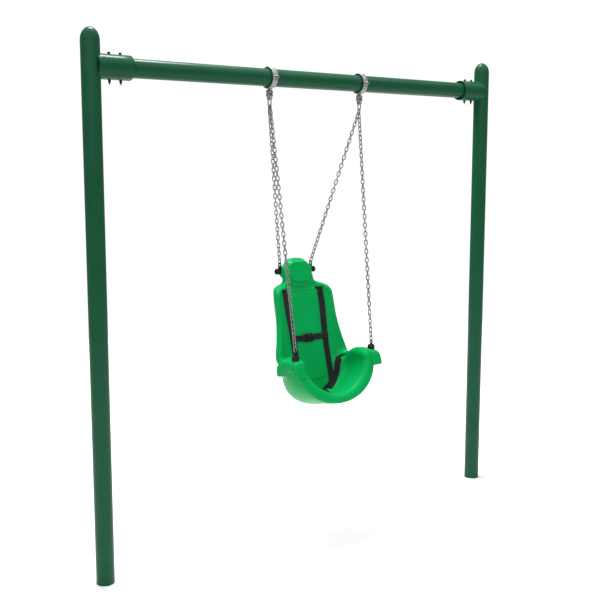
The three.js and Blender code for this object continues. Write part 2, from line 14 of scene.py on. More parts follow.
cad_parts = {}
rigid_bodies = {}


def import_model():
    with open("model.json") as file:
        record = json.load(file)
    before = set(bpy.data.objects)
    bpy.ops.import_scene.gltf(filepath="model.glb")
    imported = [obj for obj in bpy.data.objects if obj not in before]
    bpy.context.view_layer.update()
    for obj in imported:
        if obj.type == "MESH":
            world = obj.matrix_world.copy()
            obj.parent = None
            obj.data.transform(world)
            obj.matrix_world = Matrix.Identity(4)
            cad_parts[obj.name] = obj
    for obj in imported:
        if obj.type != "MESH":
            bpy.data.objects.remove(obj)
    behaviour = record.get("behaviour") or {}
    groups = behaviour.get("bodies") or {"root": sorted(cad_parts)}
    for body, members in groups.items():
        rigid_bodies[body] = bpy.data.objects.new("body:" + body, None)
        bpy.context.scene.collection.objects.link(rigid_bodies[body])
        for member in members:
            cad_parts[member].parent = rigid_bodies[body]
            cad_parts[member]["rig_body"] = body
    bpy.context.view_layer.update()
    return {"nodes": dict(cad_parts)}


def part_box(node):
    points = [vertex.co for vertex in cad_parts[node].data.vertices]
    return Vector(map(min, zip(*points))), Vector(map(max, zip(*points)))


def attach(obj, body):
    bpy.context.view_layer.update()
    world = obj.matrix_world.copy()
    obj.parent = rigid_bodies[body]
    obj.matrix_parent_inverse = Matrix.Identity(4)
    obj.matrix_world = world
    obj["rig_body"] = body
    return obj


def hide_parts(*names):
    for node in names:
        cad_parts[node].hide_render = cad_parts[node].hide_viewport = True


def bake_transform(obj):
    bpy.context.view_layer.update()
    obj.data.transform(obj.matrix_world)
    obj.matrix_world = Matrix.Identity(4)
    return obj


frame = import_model()

MM = 0.001
SIDES = (("left", -1), ("right", 1))
ENDS = (("front", -1), ("rear", 1))

# ---- camera ----

CAMERA_AT = (-3.2401, -4.0382, 2.0035)
CAMERA_TURN = 37.654  # degrees to the right of +Y
CAMERA_DIP = 7.970  # degrees below level
CAMERA_LENS = 57.85


def make_camera():
    data = bpy.data.cameras.new("camera")
    data.lens = CAMERA_LENS
    data.sensor_width = 36
    camera = bpy.data.objects.new("camera", data)
    camera.location = CAMERA_AT
    camera.rotation_euler = (math.radians(90 - CAMERA_DIP), 0, -math.radians(CAMERA_TURN))
    bpy.context.scene.collection.objects.link(camera)
    bpy.context.scene.camera = camera


make_camera()

# ---- lights and floor ----

AMBIENT = 0.34  # how bright the white surroundings are as a light
BACKDROP = 1.02  # how bright the camera sees them
SUN_POWER, SUN_SPREAD, SUN_HEADING = 3.2, 120, (0.7, 1.0, -3.2)
FLOOR_HALF, FLOOR_SHADE = 6, 0.82  # metres, albedo


def area_light(name, place, aim, size, power):
    data = bpy.data.lights.new(name, "AREA")
    data.energy = power
    data.shape = "RECTANGLE"
    data.size, data.size_y = size
    lamp = bpy.data.objects.new(name, data)
    lamp.location = place
    lamp.rotation_euler = (Vector(aim) - Vector(place)).to_track_quat("-Z", "Y").to_euler()
    bpy.context.scene.collection.objects.link(lamp)


def make_lights():
    world = bpy.data.worlds.new("studio")
    world.use_nodes = True
    background = world.node_tree.nodes["Background"]
    background.inputs["Color"].default_value = (1, 1, 1, 1)
    rays = world.node_tree.nodes.new("ShaderNodeLightPath")
    strength = world.node_tree.nodes.new("ShaderNodeMapRange")
    strength.inputs["To Min"].default_value = AMBIENT
    strength.inputs["To Max"].default_value = BACKDROP
    world.node_tree.links.new(rays.outputs["Is Camera Ray"], strength.inputs["Value"])
    world.node_tree.links.new(strength.outputs["Result"], background.inputs["Strength"])
    bpy.context.scene.world = world
    sun = bpy.data.lights.new("sun", "SUN")
    sun.energy = SUN_POWER
    sun.angle = math.radians(SUN_SPREAD)
    lamp = bpy.data.objects.new("sun", sun)
    lamp.rotation_euler = Vector(SUN_HEADING).to_track_quat("-Z", "Y").to_euler()
    bpy.context.scene.collection.objects.link(lamp)
    area_light("softbox", (0.1, 1.2, 7.0), (-0.2, 0, 1.2), (2.6, 0.8), 460)
    bpy.context.scene.view_settings.view_transform = "Standard"


def make_floor():
    data = bpy.data.meshes.new("floor")
    corners = [(x * FLOOR_HALF, y * FLOOR_HALF, 0) for x, y in ((-1, -1), (1, -1), (1, 1), (-1, 1))]
    data.from_pydata(corners, [], [(0, 1, 2, 3)])
    floor = bpy.data.objects.new("floor", data)
    bpy.context.scene.collection.objects.link(floor)
    floor.location.z = -0.001
    material = bpy.data.materials.new("floor")
    material.use_nodes = True
    shader = material.node_tree.nodes["Principled BSDF"]
    shader.inputs["Base Color"].default_value = (FLOOR_SHADE, FLOOR_SHADE, FLOOR_SHADE, 1)
    shader.inputs["Roughness"].default_value = 0.9
    shader.inputs["Specular IOR Level"].default_value = 0
    data.materials.append(material)


make_lights()
make_floor()

# ---- materials ----


class Nodes:
    """A material's node tree, with short calls to add to it."""

    def __init__(self, name):
        self.material = bpy.data.materials.new(name)
        self.material.use_nodes = True
        self.tree = self.material.node_tree
        self.shader = self.tree.nodes["Principled BSDF"]
        self.place = self.add("ShaderNodeTexCoord").outputs["Object"]

    def add(self, kind, **inputs):
        node = self.tree.nodes.new(kind)
        for key, value in inputs.items():
            self.set(node, key, value)
        return node

    def set(self, node, key, value):
        socket = node.inputs[int(key[1:])] if key[0] == "_" else node.inputs[key.replace("_", " ")]
        if isinstance(value, bpy.types.NodeSocket):
            self.tree.links.new(value, socket)
        else:
            socket.default_value = value

    def shade(self, **inputs):
        for key, value in inputs.items():
            self.set(self.shader, key, value)

    def noise(self, size, detail=2, roughness=0.5, place=None):
        """Noise from 0 to 1 with features of about this many millimetres."""
        node = self.add("ShaderNodeTexNoise", Scale=1 / (size * MM), Detail=detail, Roughness=roughness)
        self.set(node, "Vector", place or self.place)
        return node.outputs["Fac"]

    def maths(self, operation, *values):
        node = self.add("ShaderNodeMath")
        node.operation = operation
        for i, value in enumerate(values):
            self.set(node, f"_{i}", value)
        return node.outputs[0]

    def ramp(self, value, low, high, out_low=0.0, out_high=1.0):
        """value from low..high, mapped to out_low..out_high and held at the ends."""
        node = self.add("ShaderNodeMapRange", Value=value)
        for key, number in (("From Min", low), ("From Max", high), ("To Min", out_low), ("To Max", out_high)):
            node.inputs[key].default_value = number
        return node.outputs["Result"]

    def mix(self, share, a, b):
        node = self.add("ShaderNodeMix")
        node.data_type = "RGBA"
        self.set(node, "Factor", share)
        for socket, value in ((node.inputs[6], a), (node.inputs[7], b)):
            if isinstance(value, bpy.types.NodeSocket):
                self.tree.links.new(value, socket)
            else:
                socket.default_value = (*value, 1)
        return node.outputs[2]

    def bump(self, height, depth, strength=1.0, under=None):
        """A bump whose height from 0 to 1 stands this many millimetres deep."""
        node = self.add("ShaderNodeBump", Height=height, Distance=depth * MM, Strength=strength)
        if under is not None:
            self.set(node, "Normal", under)
        return node.outputs["Normal"]


def edge_wear(nodes, low, high):
    """From 0 on faces to 1 on outward edges."""
    geometry = nodes.add("ShaderNodeNewGeometry")
    return nodes.ramp(geometry.outputs["Pointiness"], low, high)


def powder_coat():
    n = Nodes("green_powder_coat")
    cloud = n.ramp(n.noise(160, 3), 0.3, 0.7)
    speck = n.ramp(n.noise(2.2, 1), 0.35, 0.65)
    base = n.mix(cloud, (0.0052, 0.062, 0.0270), (0.0066, 0.070, 0.0315))
    colour = n.mix(n.maths("MULTIPLY", speck, 0.25), base, (0.010, 0.078, 0.038))
    peel = n.bump(n.noise(3.4, 2), 0.06, 0.5)
    rough = n.ramp(cloud, 0, 1, 0.24, 0.32)
    n.shade(Base_Color=colour, Roughness=rough, Normal=peel, Specular_IOR_Level=0.12)
    return n.material


def dark_steel():
    n = Nodes("dark_steel")
    grain = n.noise(1.6, 3)
    wear = edge_wear(n, 0.51, 0.56)
    base = n.mix(grain, (0.010, 0.016, 0.013), (0.020, 0.030, 0.025))
    colour = n.mix(n.maths("MULTIPLY", wear, 0.35), base, (0.10, 0.11, 0.11))
    n.shade(Base_Color=colour, Metallic=0.5, Roughness=n.ramp(grain, 0.3, 0.7, 0.38, 0.55),
            Normal=n.bump(n.noise(0.9, 2), 0.04, 0.4), Specular_IOR_Level=0.3)
    return n.material


def galvanised(name, dark, light, spangle):
    n = Nodes(name)
    cells = n.add("ShaderNodeTexVoronoi", Scale=1 / (spangle * MM), Vector=n.place)
    crystal = n.add("ShaderNodeSeparateColor", Color=cells.outputs["Color"]).outputs[0]
    dull = n.ramp(n.noise(14, 4), 0.35, 0.7)
    base = n.mix(crystal, dark, light)
    colour = n.mix(n.maths("MULTIPLY", dull, 0.5), base, tuple(0.8 * v for v in dark))
    rough = n.maths("ADD", n.ramp(crystal, 0, 1, 0.30, 0.46), n.maths("MULTIPLY", dull, 0.12))
    n.shade(Base_Color=colour, Metallic=0.9, Roughness=rough, Normal=n.bump(n.noise(1.1, 3), 0.05, 0.5))
    return n.material


def green_plastic():
    n = Nodes("green_plastic")
    cloud = n.ramp(n.noise(120, 2), 0.3, 0.7)
    base = n.mix(cloud, (0.0008, 0.262, 0.060), (0.0014, 0.285, 0.067))
    scuff = n.ramp(n.noise(5.0, 4, 0.7), 0.62, 0.8)
    colour = n.mix(n.maths("MULTIPLY", scuff, 0.12), base, (0.006, 0.33, 0.090))
    grain = n.bump(n.noise(0.8, 2), 0.05, 0.35)
    waves = n.bump(n.noise(38, 1), 0.5, 0.25, under=grain)
    rough = n.ramp(n.noise(9, 3), 0.3, 0.7, 0.26, 0.35)
    n.shade(Base_Color=colour, Roughness=rough, Normal=waves, Specular_IOR_Level=0.05)
    return n.material


def black_plastic(name, rough_low, rough_high):
    n = Nodes(name)
    cloud = n.noise(18, 3)
    wear = edge_wear(n, 0.52, 0.60)
    base = n.mix(cloud, (0.0045, 0.0048, 0.0050), (0.0080, 0.0085, 0.0088))
    colour = n.mix(n.maths("MULTIPLY", wear, 0.3), base, (0.030, 0.031, 0.032))
    n.shade(Base_Color=colour, Roughness=n.ramp(cloud, 0.3, 0.7, rough_low, rough_high),
            Normal=n.bump(n.noise(0.7, 2), 0.04, 0.5), Specular_IOR_Level=0.16)
    return n.material


WEAVE = "weave_place"  # (along, across, 0) in metres on a strap


def webbing():
    """Nylon webbing: rows of slanted yarn that change direction from row to row, and a plain edge."""
    n = Nodes("webbing")
    row, yarn = 2.6, 2.0  # mm
    place = n.add("ShaderNodeAttribute")
    place.attribute_name = WEAVE
    parts = n.add("ShaderNodeSeparateXYZ", Vector=place.outputs["Vector"])
    along = n.maths("DIVIDE", parts.outputs[0], yarn * MM)
    across = n.maths("DIVIDE", parts.outputs[1], row * MM)
    zigzag = n.maths("PINGPONG", across, 1.0)
    slant = n.maths("ADD", along, n.maths("MULTIPLY", zigzag, 1.6))
    twist = n.maths("PINGPONG", slant, 0.5)
    furrow = n.maths("PINGPONG", n.maths("MULTIPLY", across, 2.0), 1.0)
    height = n.maths("ADD", n.maths("MULTIPLY", twist, 1.4), n.maths("MULTIPLY", furrow, 0.45))
    fuzz = n.noise(0.5, 2)
    # The colour is darker where the weave is low: painted shade in the furrows between the yarns, with fuzz
    # noise adding some random tone.
    shade = n.ramp(n.maths("ADD", height, n.maths("MULTIPLY", fuzz, 0.3)), 0.1, 1.3)
    colour = n.mix(shade, (0.0035, 0.0036, 0.0038), (0.0140, 0.0145, 0.0150))
    dust = n.ramp(n.noise(30, 4), 0.45, 0.75)
    colour = n.mix(n.maths("MULTIPLY", dust, 0.12), colour, (0.035, 0.035, 0.036))
    n.shade(Base_Color=colour, Roughness=0.78, Normal=n.bump(height, 0.45, 0.8), Specular_IOR_Level=0.12)
    n.shader.inputs["Sheen Weight"].default_value = 0.06
    n.shader.inputs["Sheen Roughness"].default_value = 0.5
    return n.material


def stitching():
    n = Nodes("stitching")
    ply = n.noise(0.6, 2)
    colour = n.mix(ply, (0.018, 0.017, 0.020), (0.045, 0.042, 0.048))
    n.shade(Base_Color=colour, Roughness=0.7, Normal=n.bump(ply, 0.08, 0.6), Specular_IOR_Level=0.3)
    return n.material


MATERIALS = {
    "green_powder_coat": powder_coat(),
    "dark_steel": dark_steel(),
    "galvanised_steel": galvanised("galvanised_steel", (0.20, 0.205, 0.205), (0.42, 0.42, 0.415), 5.0),
    "chain": galvanised("chain", (0.16, 0.165, 0.165), (0.36, 0.36, 0.355), 2.5),
    "green_plastic": green_plastic(),
    "black_fitting": black_plastic("black_fitting", 0.28, 0.42),
    "black_plastic": black_plastic("black_plastic", 0.36, 0.50),
    "webbing": webbing(),
}
THREAD = stitching()

# ---- meshes ----


def box(node):
    """The lowest and highest corners of a CAD node, in millimetres."""
    low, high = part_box(node)
    return np.array(low) / MM, np.array(high) / MM


def middle(node):
    low, high = box(node)
    return (low + high) / 2


def piece(name, mesh, slot, *nodes, body=None, material=None, sharp=40, rides=True):
    """A finished piece from (vertices in mm, faces)."""
    vertices, faces = mesh
    data = bpy.data.meshes.new(name)
    data.from_pydata((np.asarray(vertices, float) * MM).tolist(), [], [list(map(int, f)) for f in faces])
    data.validate()
    data.shade_smooth()
    data.set_sharp_from_angle(angle=math.radians(sharp))
    data.materials.append(material or MATERIALS[slot])
    made = bpy.data.objects.new(name, data)
    bpy.context.scene.collection.objects.link(made)
    if nodes:
        body = frame["nodes"][nodes[0]]["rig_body"]
        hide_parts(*nodes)
    if body and rides:
        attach(made, body)
    return made


def together(*meshes):
    """Several meshes as one."""
    vertices, faces, base = [], [], 0
    for v, f in meshes:
        vertices.append(np.asarray(v, float))
        faces += [[i + base for i in face] for face in f]
        base += len(v)
    return np.concatenate(vertices), faces


def moved(mesh, place=(0, 0, 0), turn=None):
    vertices, faces = mesh
    vertices = np.asarray(vertices, float)
    if turn is not None:
        vertices = vertices @ np.array(turn, float).T
    return vertices + np.array(place, float), faces


TO_X = Matrix.Rotation(math.pi / 2, 3, "Y")  # turns what lies along Z to lie along X
HALF_TURN = Matrix.Rotation(math.pi, 3, "Z")


def lathe(profile, segments=96, radius_at=None):
    """A profile of (radius, height) points turned about Z. It is closed, or starts and ends on the axis.
    radius_at(angles, height) scales the radius, for lobes and flats."""
    closed = tuple(profile[0]) == tuple(profile[-1])
    points = profile[:-1] if closed else profile
    angles = np.arange(segments) * 2 * math.pi / segments
    circle = np.stack([np.cos(angles), np.sin(angles)], 1)
    vertices, rings = [], []
    for radius, height in points:
        if radius == 0:
            rings.append([len(vertices)] * segments)
            vertices.append((0, 0, height))
            continue
        scale = radius_at(angles, height) if radius_at else np.ones(segments)
        rings.append(list(range(len(vertices), len(vertices) + segments)))
        vertices += [(x, y, height) for x, y in radius * scale[:, None] * circle]
    faces = []
    pairs = list(zip(rings, rings[1:] + rings[:1])) if closed else list(zip(rings, rings[1:]))
    for a, b in pairs:
        for i in range(segments):
            j = (i + 1) % segments
            face = list(dict.fromkeys((a[i], a[j], b[j], b[i])))
            if len(face) > 2:
                faces.append(face)
    return facing_out(np.array(vertices, float), faces)


def facing_out(vertices, faces):
    """The same closed mesh with its faces turned outwards."""
    volume = 0
    for face in faces:
        a = vertices[face[0]]
        for b, c in zip(face[1:-1], face[2:]):
            volume += np.dot(a, np.cross(vertices[b], vertices[c]))
    return (vertices, faces) if volume > 0 else (vertices, [face[::-1] for face in faces])


def rounded(corners, radius, steps=4):
    """A profile whose corners are rounded, as a list of points. The first and last points stay."""
    points = [tuple(corners[0])]
    for before, corner, after in zip(corners, corners[1:], corners[2:]):
        corner = np.array(corner, float)
        to_before, to_after = np.array(before, float) - corner, np.array(after, float) - corner
        reach = min(radius, np.linalg.norm(to_before) / 2, np.linalg.norm(to_after) / 2)
        start = corner + to_before / np.linalg.norm(to_before) * reach
        end = corner + to_after / np.linalg.norm(to_after) * reach
        for i in range(steps + 1):
            t = i / steps
            points.append(tuple((1 - t) ** 2 * start + 2 * t * (1 - t) * corner + t * t * end))
    points.append(tuple(corners[-1]))
    return points


def tube_profile(outer, inner, low, high, edge=0.8):
    """The closed profile of a tube with eased edges."""
    seam = (inner, (low + high) / 2)
    corners = [seam, (inner, low), (outer, low), (outer, high), (inner, high), seam]
    return rounded(corners, edge, 3)


def ring_faces(rings, sides, around=False):
    """Quads between rings that are numbered one after another; the last joins the first if they go around."""
    faces = []
    for i in range(rings if around else rings - 1):
        a, b = i * sides, (i + 1) % rings * sides
        for j in range(sides):
            k = (j + 1) % sides
            faces.append([a + j, a + k, b + k, b + j])
    return faces


def frames_along(path, closed, start=None):
    """A normal and a binormal at each point of a path, turned as little as possible from point to point."""
    n = len(path)
    if closed:
        tangents = [(path[(i + 1) % n] - path[i - 1]).normalized() for i in range(n)]
    else:
        tangents = [(path[min(i + 1, n - 1)] - path[max(i - 1, 0)]).normalized() for i in range(n)]
    normal = (Vector(start) if start else tangents[0].orthogonal()).normalized()
    frames = []
    for tangent in tangents:
        normal = (normal - tangent * normal.dot(tangent)).normalized()
        frames.append((normal.copy(), tangent.cross(normal)))
    return frames


def swept(path, radius, sides=12, closed=False, start=None):
    """A round wire along a path; radius is a number or one number for each point."""
    path = [Vector(p) for p in path]
    radii = radius if hasattr(radius, "__len__") else [radius] * len(path)
    vertices = []
    for point, (normal, across), r in zip(path, frames_along(path, closed, start), radii):
        for i in range(sides):
            angle = 2 * math.pi * i / sides
            vertices.append(point + r * (math.cos(angle) * normal + math.sin(angle) * across))
    count = len(path)
    faces = ring_faces(count, sides, closed)
    if not closed:
        faces.append(list(range(sides))[::-1])
        faces.append([(count - 1) * sides + j for j in range(sides)])
    return facing_out(np.array([tuple(v) for v in vertices]), faces)


# ---- shapes from a distance field ----


def soft_min(a, b, blend):
    """The nearer of two surfaces, with a fillet of about this many millimetres where they meet."""
    h = np.maximum(blend - np.abs(a - b), 0) / blend
    return np.minimum(a, b) - h * h * blend / 4


def soft_max(a, b, blend):
    return -soft_min(-a, -b, blend)


def cut(solid, tool, edge=1):
    """A solid with a tool's shape taken out, and an eased edge."""
    return soft_max(solid, -tool, edge)


def smooth_step(value, low, high):
    t = np.clip((value - low) / (high - low), 0, 1)
    return t * t * (3 - 2 * t)


def round_box(u, v, w, half, radius):
    """Distance to a box with round edges, centred on the origin."""
    q = [np.abs(a) - h + radius for a, h in zip((u, v, w), half)]
    outside = np.sqrt(sum(np.maximum(a, 0) ** 2 for a in q))
    return outside + np.minimum(np.maximum(np.maximum(q[0], q[1]), q[2]), 0) - radius


def cylinder(u, v, w, radius, half, edge=0.0):
    """Distance to a cylinder along w with eased ends."""
    a = np.sqrt(u * u + v * v) - radius + edge
    b = np.abs(w) - half + edge
    return np.sqrt(np.maximum(a, 0) ** 2 + np.maximum(b, 0) ** 2) + np.minimum(np.maximum(a, b), 0) - edge


def skinned(field, low, high, cell, passes=2):
    """A closed mesh of quads where field(x, y, z) is 0, with the inside below 0: surface nets, whose vertices
    then move along the field's slope onto the surface."""
    axes = [np.arange(a - 2 * cell, b + 3 * cell, cell) for a, b in zip(low, high)]
    value = field(*np.meshgrid(*axes, indexing="ij"))
    cells = tuple(n - 1 for n in value.shape)
    total, count, corners = np.zeros((math.prod(cells), 3)), np.zeros(math.prod(cells)), []
    for axis in range(3):
        near, far = np.delete(value, -1, axis), np.delete(value, 0, axis)
        at = np.argwhere((near < 0) != (far < 0))
        a, b = near[tuple(at.T)], far[tuple(at.T)]
        point = at.astype(float)
        point[:, axis] += a / (a - b)
        u, v = [i for i in range(3) if i != axis]
        ring = []
        for du, dv in ((0, 0), (-1, 0), (-1, -1), (0, -1)):
            cell_at = at.copy()
            cell_at[:, u] += du
            cell_at[:, v] += dv
            flat = np.ravel_multi_index(tuple(cell_at.T), cells)
            for i in range(3):
                total[:, i] += np.bincount(flat, point[:, i], len(count))
            count += np.bincount(flat, minlength=len(count))
            ring.append(flat)
        quads = np.stack(ring, 1)
        outward = (a < 0) != (axis == 1)
        quads[~outward] = quads[~outward][:, ::-1]
        corners.append(quads)
    used = np.flatnonzero(count)
    index = np.full(len(count), -1)
    index[used] = np.arange(len(used))
    vertices = total[used] / count[used, None] * cell + [axis[0] for axis in axes]
    for _ in range(passes):
        vertices -= step_to_surface(field, vertices, cell)
    return vertices, index[np.concatenate(corners)].tolist()


def slope(field, points, reach=0.25):
    """The field's gradient at each point."""
    columns = []
    for axis in range(3):
        ahead, behind = points.copy(), points.copy()
        ahead[:, axis] += reach
        behind[:, axis] -= reach
        columns.append((field(*ahead.T) - field(*behind.T)) / (2 * reach))
    return np.stack(columns, 1)


def step_to_surface(field, points, cell):
    gradient = slope(field, points)
    steep = np.maximum((gradient**2).sum(1), 0.2)
    step = gradient * (field(*points.T) / steep)[:, None]
    return np.clip(step, -cell / 2, cell / 2)


# ---- posts, caps, rail and sockets ----

TUBE_WALL = 4.8
GAP = 0.3
SOCKET_WALL = 6
WELD_R = 2.2


def make_posts():
    for side, _ in SIDES:
        low, high = box(f"{side}_post")
        x, y = (low[:2] + high[:2]) / 2
        radius = (high[0] - low[0]) / 2
        tube = lathe(tube_profile(radius, radius - TUBE_WALL, low[2], high[2]))
        piece(f"{side}_post_tube", moved(tube, (x, y, 0)), "green_powder_coat", f"{side}_post")
        base, top = box(f"{side}_post_cap")
        seam = high[2] + GAP
        spigot = radius - TUBE_WALL - 1
        profile = [(0, base[2]), *rounded([(spigot - 3, base[2]), (spigot, base[2]), (spigot, seam)], 1)]
        profile.append((radius, seam))
        steps = 24
        for i in range(1, steps + 1):
            angle = i / steps * math.pi / 2
            rise = seam + (top[2] - seam) * math.sin(angle)
            profile.append((0 if i == steps else radius * math.cos(angle), rise))
        piece(f"{side}_post_dome", moved(lathe(profile), (x, y, 0)), "green_powder_coat", f"{side}_post_cap")


def make_rail():
    low, high = box("top_rail")
    radius = (high[2] - low[2]) / 2
    tube = moved(lathe(tube_profile(radius, radius - TUBE_WALL, low[0], high[0])), turn=TO_X)
    piece("top_rail_tube", moved(tube, (0, 0, (low[2] + high[2]) / 2)), "green_powder_coat", "top_rail")


def socket_sleeve(radius, post_radius, length, reach):
    """A sleeve along +X from a post's axis, cut to the post's surface, with an eased rim at its far end."""
    around, edge = 96, 1.2
    inner = radius - SOCKET_WALL
    loop = [(radius, None), (radius, length - edge), (radius - edge * 0.3, length - edge * 0.3),
            (radius - edge, length), (inner + edge, length), (inner + edge * 0.3, length - edge * 0.3),
            (inner, length - edge), (inner, None)]
    shares = [0, 0.35, 0.7]  # rings between the post and the rim
    rings = [(radius, share) for share in shares] + loop[1:-1] + [(inner, share) for share in shares[::-1]]
    vertices = []
    for r, x in rings:
        for i in range(around):
            angle = 2 * math.pi * i / around
            y, z = r * math.sin(angle), r * math.cos(angle)
            start = max(math.sqrt(max((post_radius + GAP) ** 2 - y * y, 0)), reach)
            place = start + x * (length - edge - start) if x < 1 else x
            vertices.append((place, y, z))
    return facing_out(np.array(vertices), ring_faces(len(rings), around, True))


def socket_weld(radius, post_radius, reach):
    """The bead where the sleeve meets the post, with the ripples of its passes."""
    path, radii = [], []
    steps = 260
    for i in range(steps):
        angle = 2 * math.pi * i / steps
        y = radius * math.sin(angle)
        x = max(math.sqrt(max(post_radius**2 - y * y, 0)), reach)
        path.append((x + 0.6, y, radius * math.cos(angle)))
        radii.append(WELD_R * (1 + 0.09 * math.sin(angle * 62) * math.sin(angle * 3 + 1)))
    return swept(path, radii, sides=10, closed=True, start=(0, 0, 1))


def make_sockets():
    low, high = box("left_post")
    post_x, post_radius = (low[0] + high[0]) / 2, (high[0] - low[0]) / 2
    for side, sign in SIDES:
        low, high = box(f"{side}_rail_socket")
        radius, z = (high[2] - low[2]) / 2, (high[2] + low[2]) / 2
        reach, length = sorted(abs(x - sign * abs(post_x)) for x in (low[0], high[0]))
        turn = None if sign < 0 else HALF_TURN
        place = (sign * abs(post_x), 0, z)
        sleeve = socket_sleeve(radius, post_radius, length, reach)
        piece(f"{side}_rail_sleeve", moved(sleeve, place, turn), "green_powder_coat", f"{side}_rail_socket")
        weld = socket_weld(radius, post_radius, reach)
        piece(f"{side}_sleeve_weld", moved(weld, place, turn), "green_powder_coat", body="frame")


# ---- bolts and nuts ----


def hexagon(angles, _height):
    """Scales a circle of the corner radius down to a hexagon with slightly rounded corners."""
    sector = (angles + math.pi / 6) % (math.pi / 3) - math.pi / 6
    return np.minimum(math.cos(math.pi / 6) / np.cos(sector), 0.985)


def socket_screw(low, high, head_low):
    """A bolt from its tip up to its head, a low cylinder with a domed top and a drive recess."""
    shank = 5
    head, top = min(high[:2] - low[:2]) / 2, high[2]
    profile = [(0, low[2]), (shank - 1.2, low[2]), (shank, low[2] + 1.2), (shank, head_low), (head, head_low)]
    profile += rounded([(head, head_low + 0.5), (head, top - 1), (head * 0.62, top)], 2.5, 5)
    profile += [(head * 0.45, top - 0.3), (head * 0.38, top - 3.4), (0, top - 4.2)]
    return lathe(profile, 48)


def acorn(low, high):
    """A tapered cap nut that hangs under the sleeve."""
    r = (high[0] - low[0]) / 2
    top, tip = high[2], low[2]
    collar = [(0, top - 1), (r * 0.6, top - 1), (r * 0.62, top), (r * 1.0, top), (r * 1.0, top - 1.6)]
    dome = [(r * 0.93, top - 2.0), (r * 0.93, top - 8.5), (r * 0.62, top - 14), (r * 0.22, tip), (0, tip)]
    return lathe(collar + rounded(dome, 3, 6), 48)


def make_socket_bolts():
    for side, _ in SIDES:
        socket_low, socket_high = box(f"{side}_rail_socket")
        for place in ("outer", "inner"):
            name = f"{side}_{place}_socket_bolt"
            low, high = box(name)
            x, y = (low[:2] + high[:2]) / 2
            screw = socket_screw(low, high, socket_high[2] + GAP)
            piece(f"{side}_{place}_rail_screw", moved(screw, (x, y, 0)), "dark_steel", name)
            name = f"{side}_{place}_acorn_nut"
            nut = acorn(*box(name))
            piece(f"{side}_{place}_cap_nut", moved(nut, (x, y, 0)), "dark_steel", name)


make_posts()
make_rail()
make_sockets()
make_socket_bolts()

# ---- beam clamps, pivots, pendulums and shackles ----

HARDWARE_CELL = 1.25
RAIL_R = (box("top_rail")[1][2] - box("top_rail")[0][2]) / 2
RAIL_Z = middle("top_rail")[2]
HANGER_X = abs(middle("left_pivot_pin")[0])
PIVOT_DROP = RAIL_Z - middle("left_pivot_pin")[2]
SHACKLE_DROP = RAIL_Z - middle("left_shackle_pin")[2]
CLAMP_R, CLAMP_HALF, CLAMP_SEAM = 55.5, 16, 0.5
CLAMP_RELIEF = 6  # the ring's bore steps out by this much either side of the rib that grips the rail
EAR_TIP = (box("left_clamp_upper_half")[1][1] - box("left_clamp_upper_half")[0][1]) / 2
BOLT_Y = abs(middle("left_clamp_front_bolt")[1])
SHACKLE_WIRE_R = 3.2


def clamp_ring(x, y, z):
    """The whole ring and its ears, before it is split at the seam. Lengths are from the rail's axis."""
    r = np.sqrt(y * y + z * z)

    def hoop(half, inner, outer, edge):
        return round_box(x, r - (outer + inner) / 2, 0 * x, (half, (outer - inner) / 2, 9), edge)

    band, rib = hoop(CLAMP_HALF, RAIL_R + CLAMP_RELIEF, CLAMP_R, 2), hoop(5.5, RAIL_R + GAP, CLAMP_R - 1, 1)
    ring = soft_min(band, rib, 4)
    ear_half = (EAR_TIP - CLAMP_R + 6) / 2
    ear = round_box(x, np.abs(y) - (EAR_TIP - ear_half), z, (10, ear_half, 5), 2.2)
    return soft_min(ring, ear, 6)


def clamp_half(x, y, z, side):
    """The half above (side 1) or below (side -1) the seam, with its bolt holes."""
    d = soft_max(clamp_ring(x, y, z), CLAMP_SEAM - side * z, 1)
    return cut(d, cylinder(x, np.abs(y) - BOLT_Y, z, 3.5, 30))


def upper_clamp(x, y, z):
    return clamp_half(x, y, z, 1)


def lower_clamp(x, y, z):
    d = clamp_half(x, y, z, -1)
    lug = soft_max(np.abs(x) - 5.9, stadium(y, z, -PIVOT_DROP, -50, 10.6), 2.5)
    d = soft_min(d, lug, 7)
    d = soft_max(d, RAIL_R + GAP - np.sqrt(y * y + z * z), 1)
    return cut(d, cylinder(y, z + PIVOT_DROP, x, 5.6, 30))


def stadium(y, z, low, high, radius):
    """Distance to an upright shape with round ends, centred on y = 0."""
    return np.sqrt(y * y + (z - np.clip(z, low, high)) ** 2) - radius


def pendulum(x, y, z):
    cheek = soft_max(np.abs(np.abs(x) - 10.7) - 3.9, stadium(y, z, -84, -PIVOT_DROP, 10.8), 3)
    bridge = round_box(x, y, z + 92.5, (14.4, 10.8, 4.7), 3)
    tongue = soft_max(np.abs(x) - 4.9, stadium(y, z, -SHACKLE_DROP, -94, 8.8), 2)
    d = soft_min(soft_min(cheek, bridge, 6), tongue, 5)
    d = cut(d, cylinder(y, z + PIVOT_DROP, x, 5.6, 30))
    return cut(d, cylinder(y, z + SHACKLE_DROP, x, 4.1, 30))


def pin_profile(radius, half, head, thick):
    """A pin along Z with a domed head at each end, from (0, low) to (0, high)."""
    corners = [(radius, 0), (radius, half), (head, half), (head, half + thick * 0.7), (0, half + thick)]
    upper = rounded(corners, 0.9)[1:]
    return [(r, -z) for r, z in reversed(upper)] + upper


def pin(node, radius, head, thick):
    low, high = box(node)
    half = (high[0] - low[0]) / 2 - thick
    return moved(lathe(pin_profile(radius, half, head, thick), 40), (low + high) / 2, TO_X)


def clamp_bolt(z_tip, z_head):
    profile = [(0, z_tip), (2.2, z_tip), (3, z_tip + 0.8), (3, z_head), (5.5, z_head)]
    profile += rounded([(5.5, z_head + 0.3), (5.4, z_head + 2), (3.4, z_head + 4), (0, z_head + 4)], 2)
    return lathe(profile, 32)


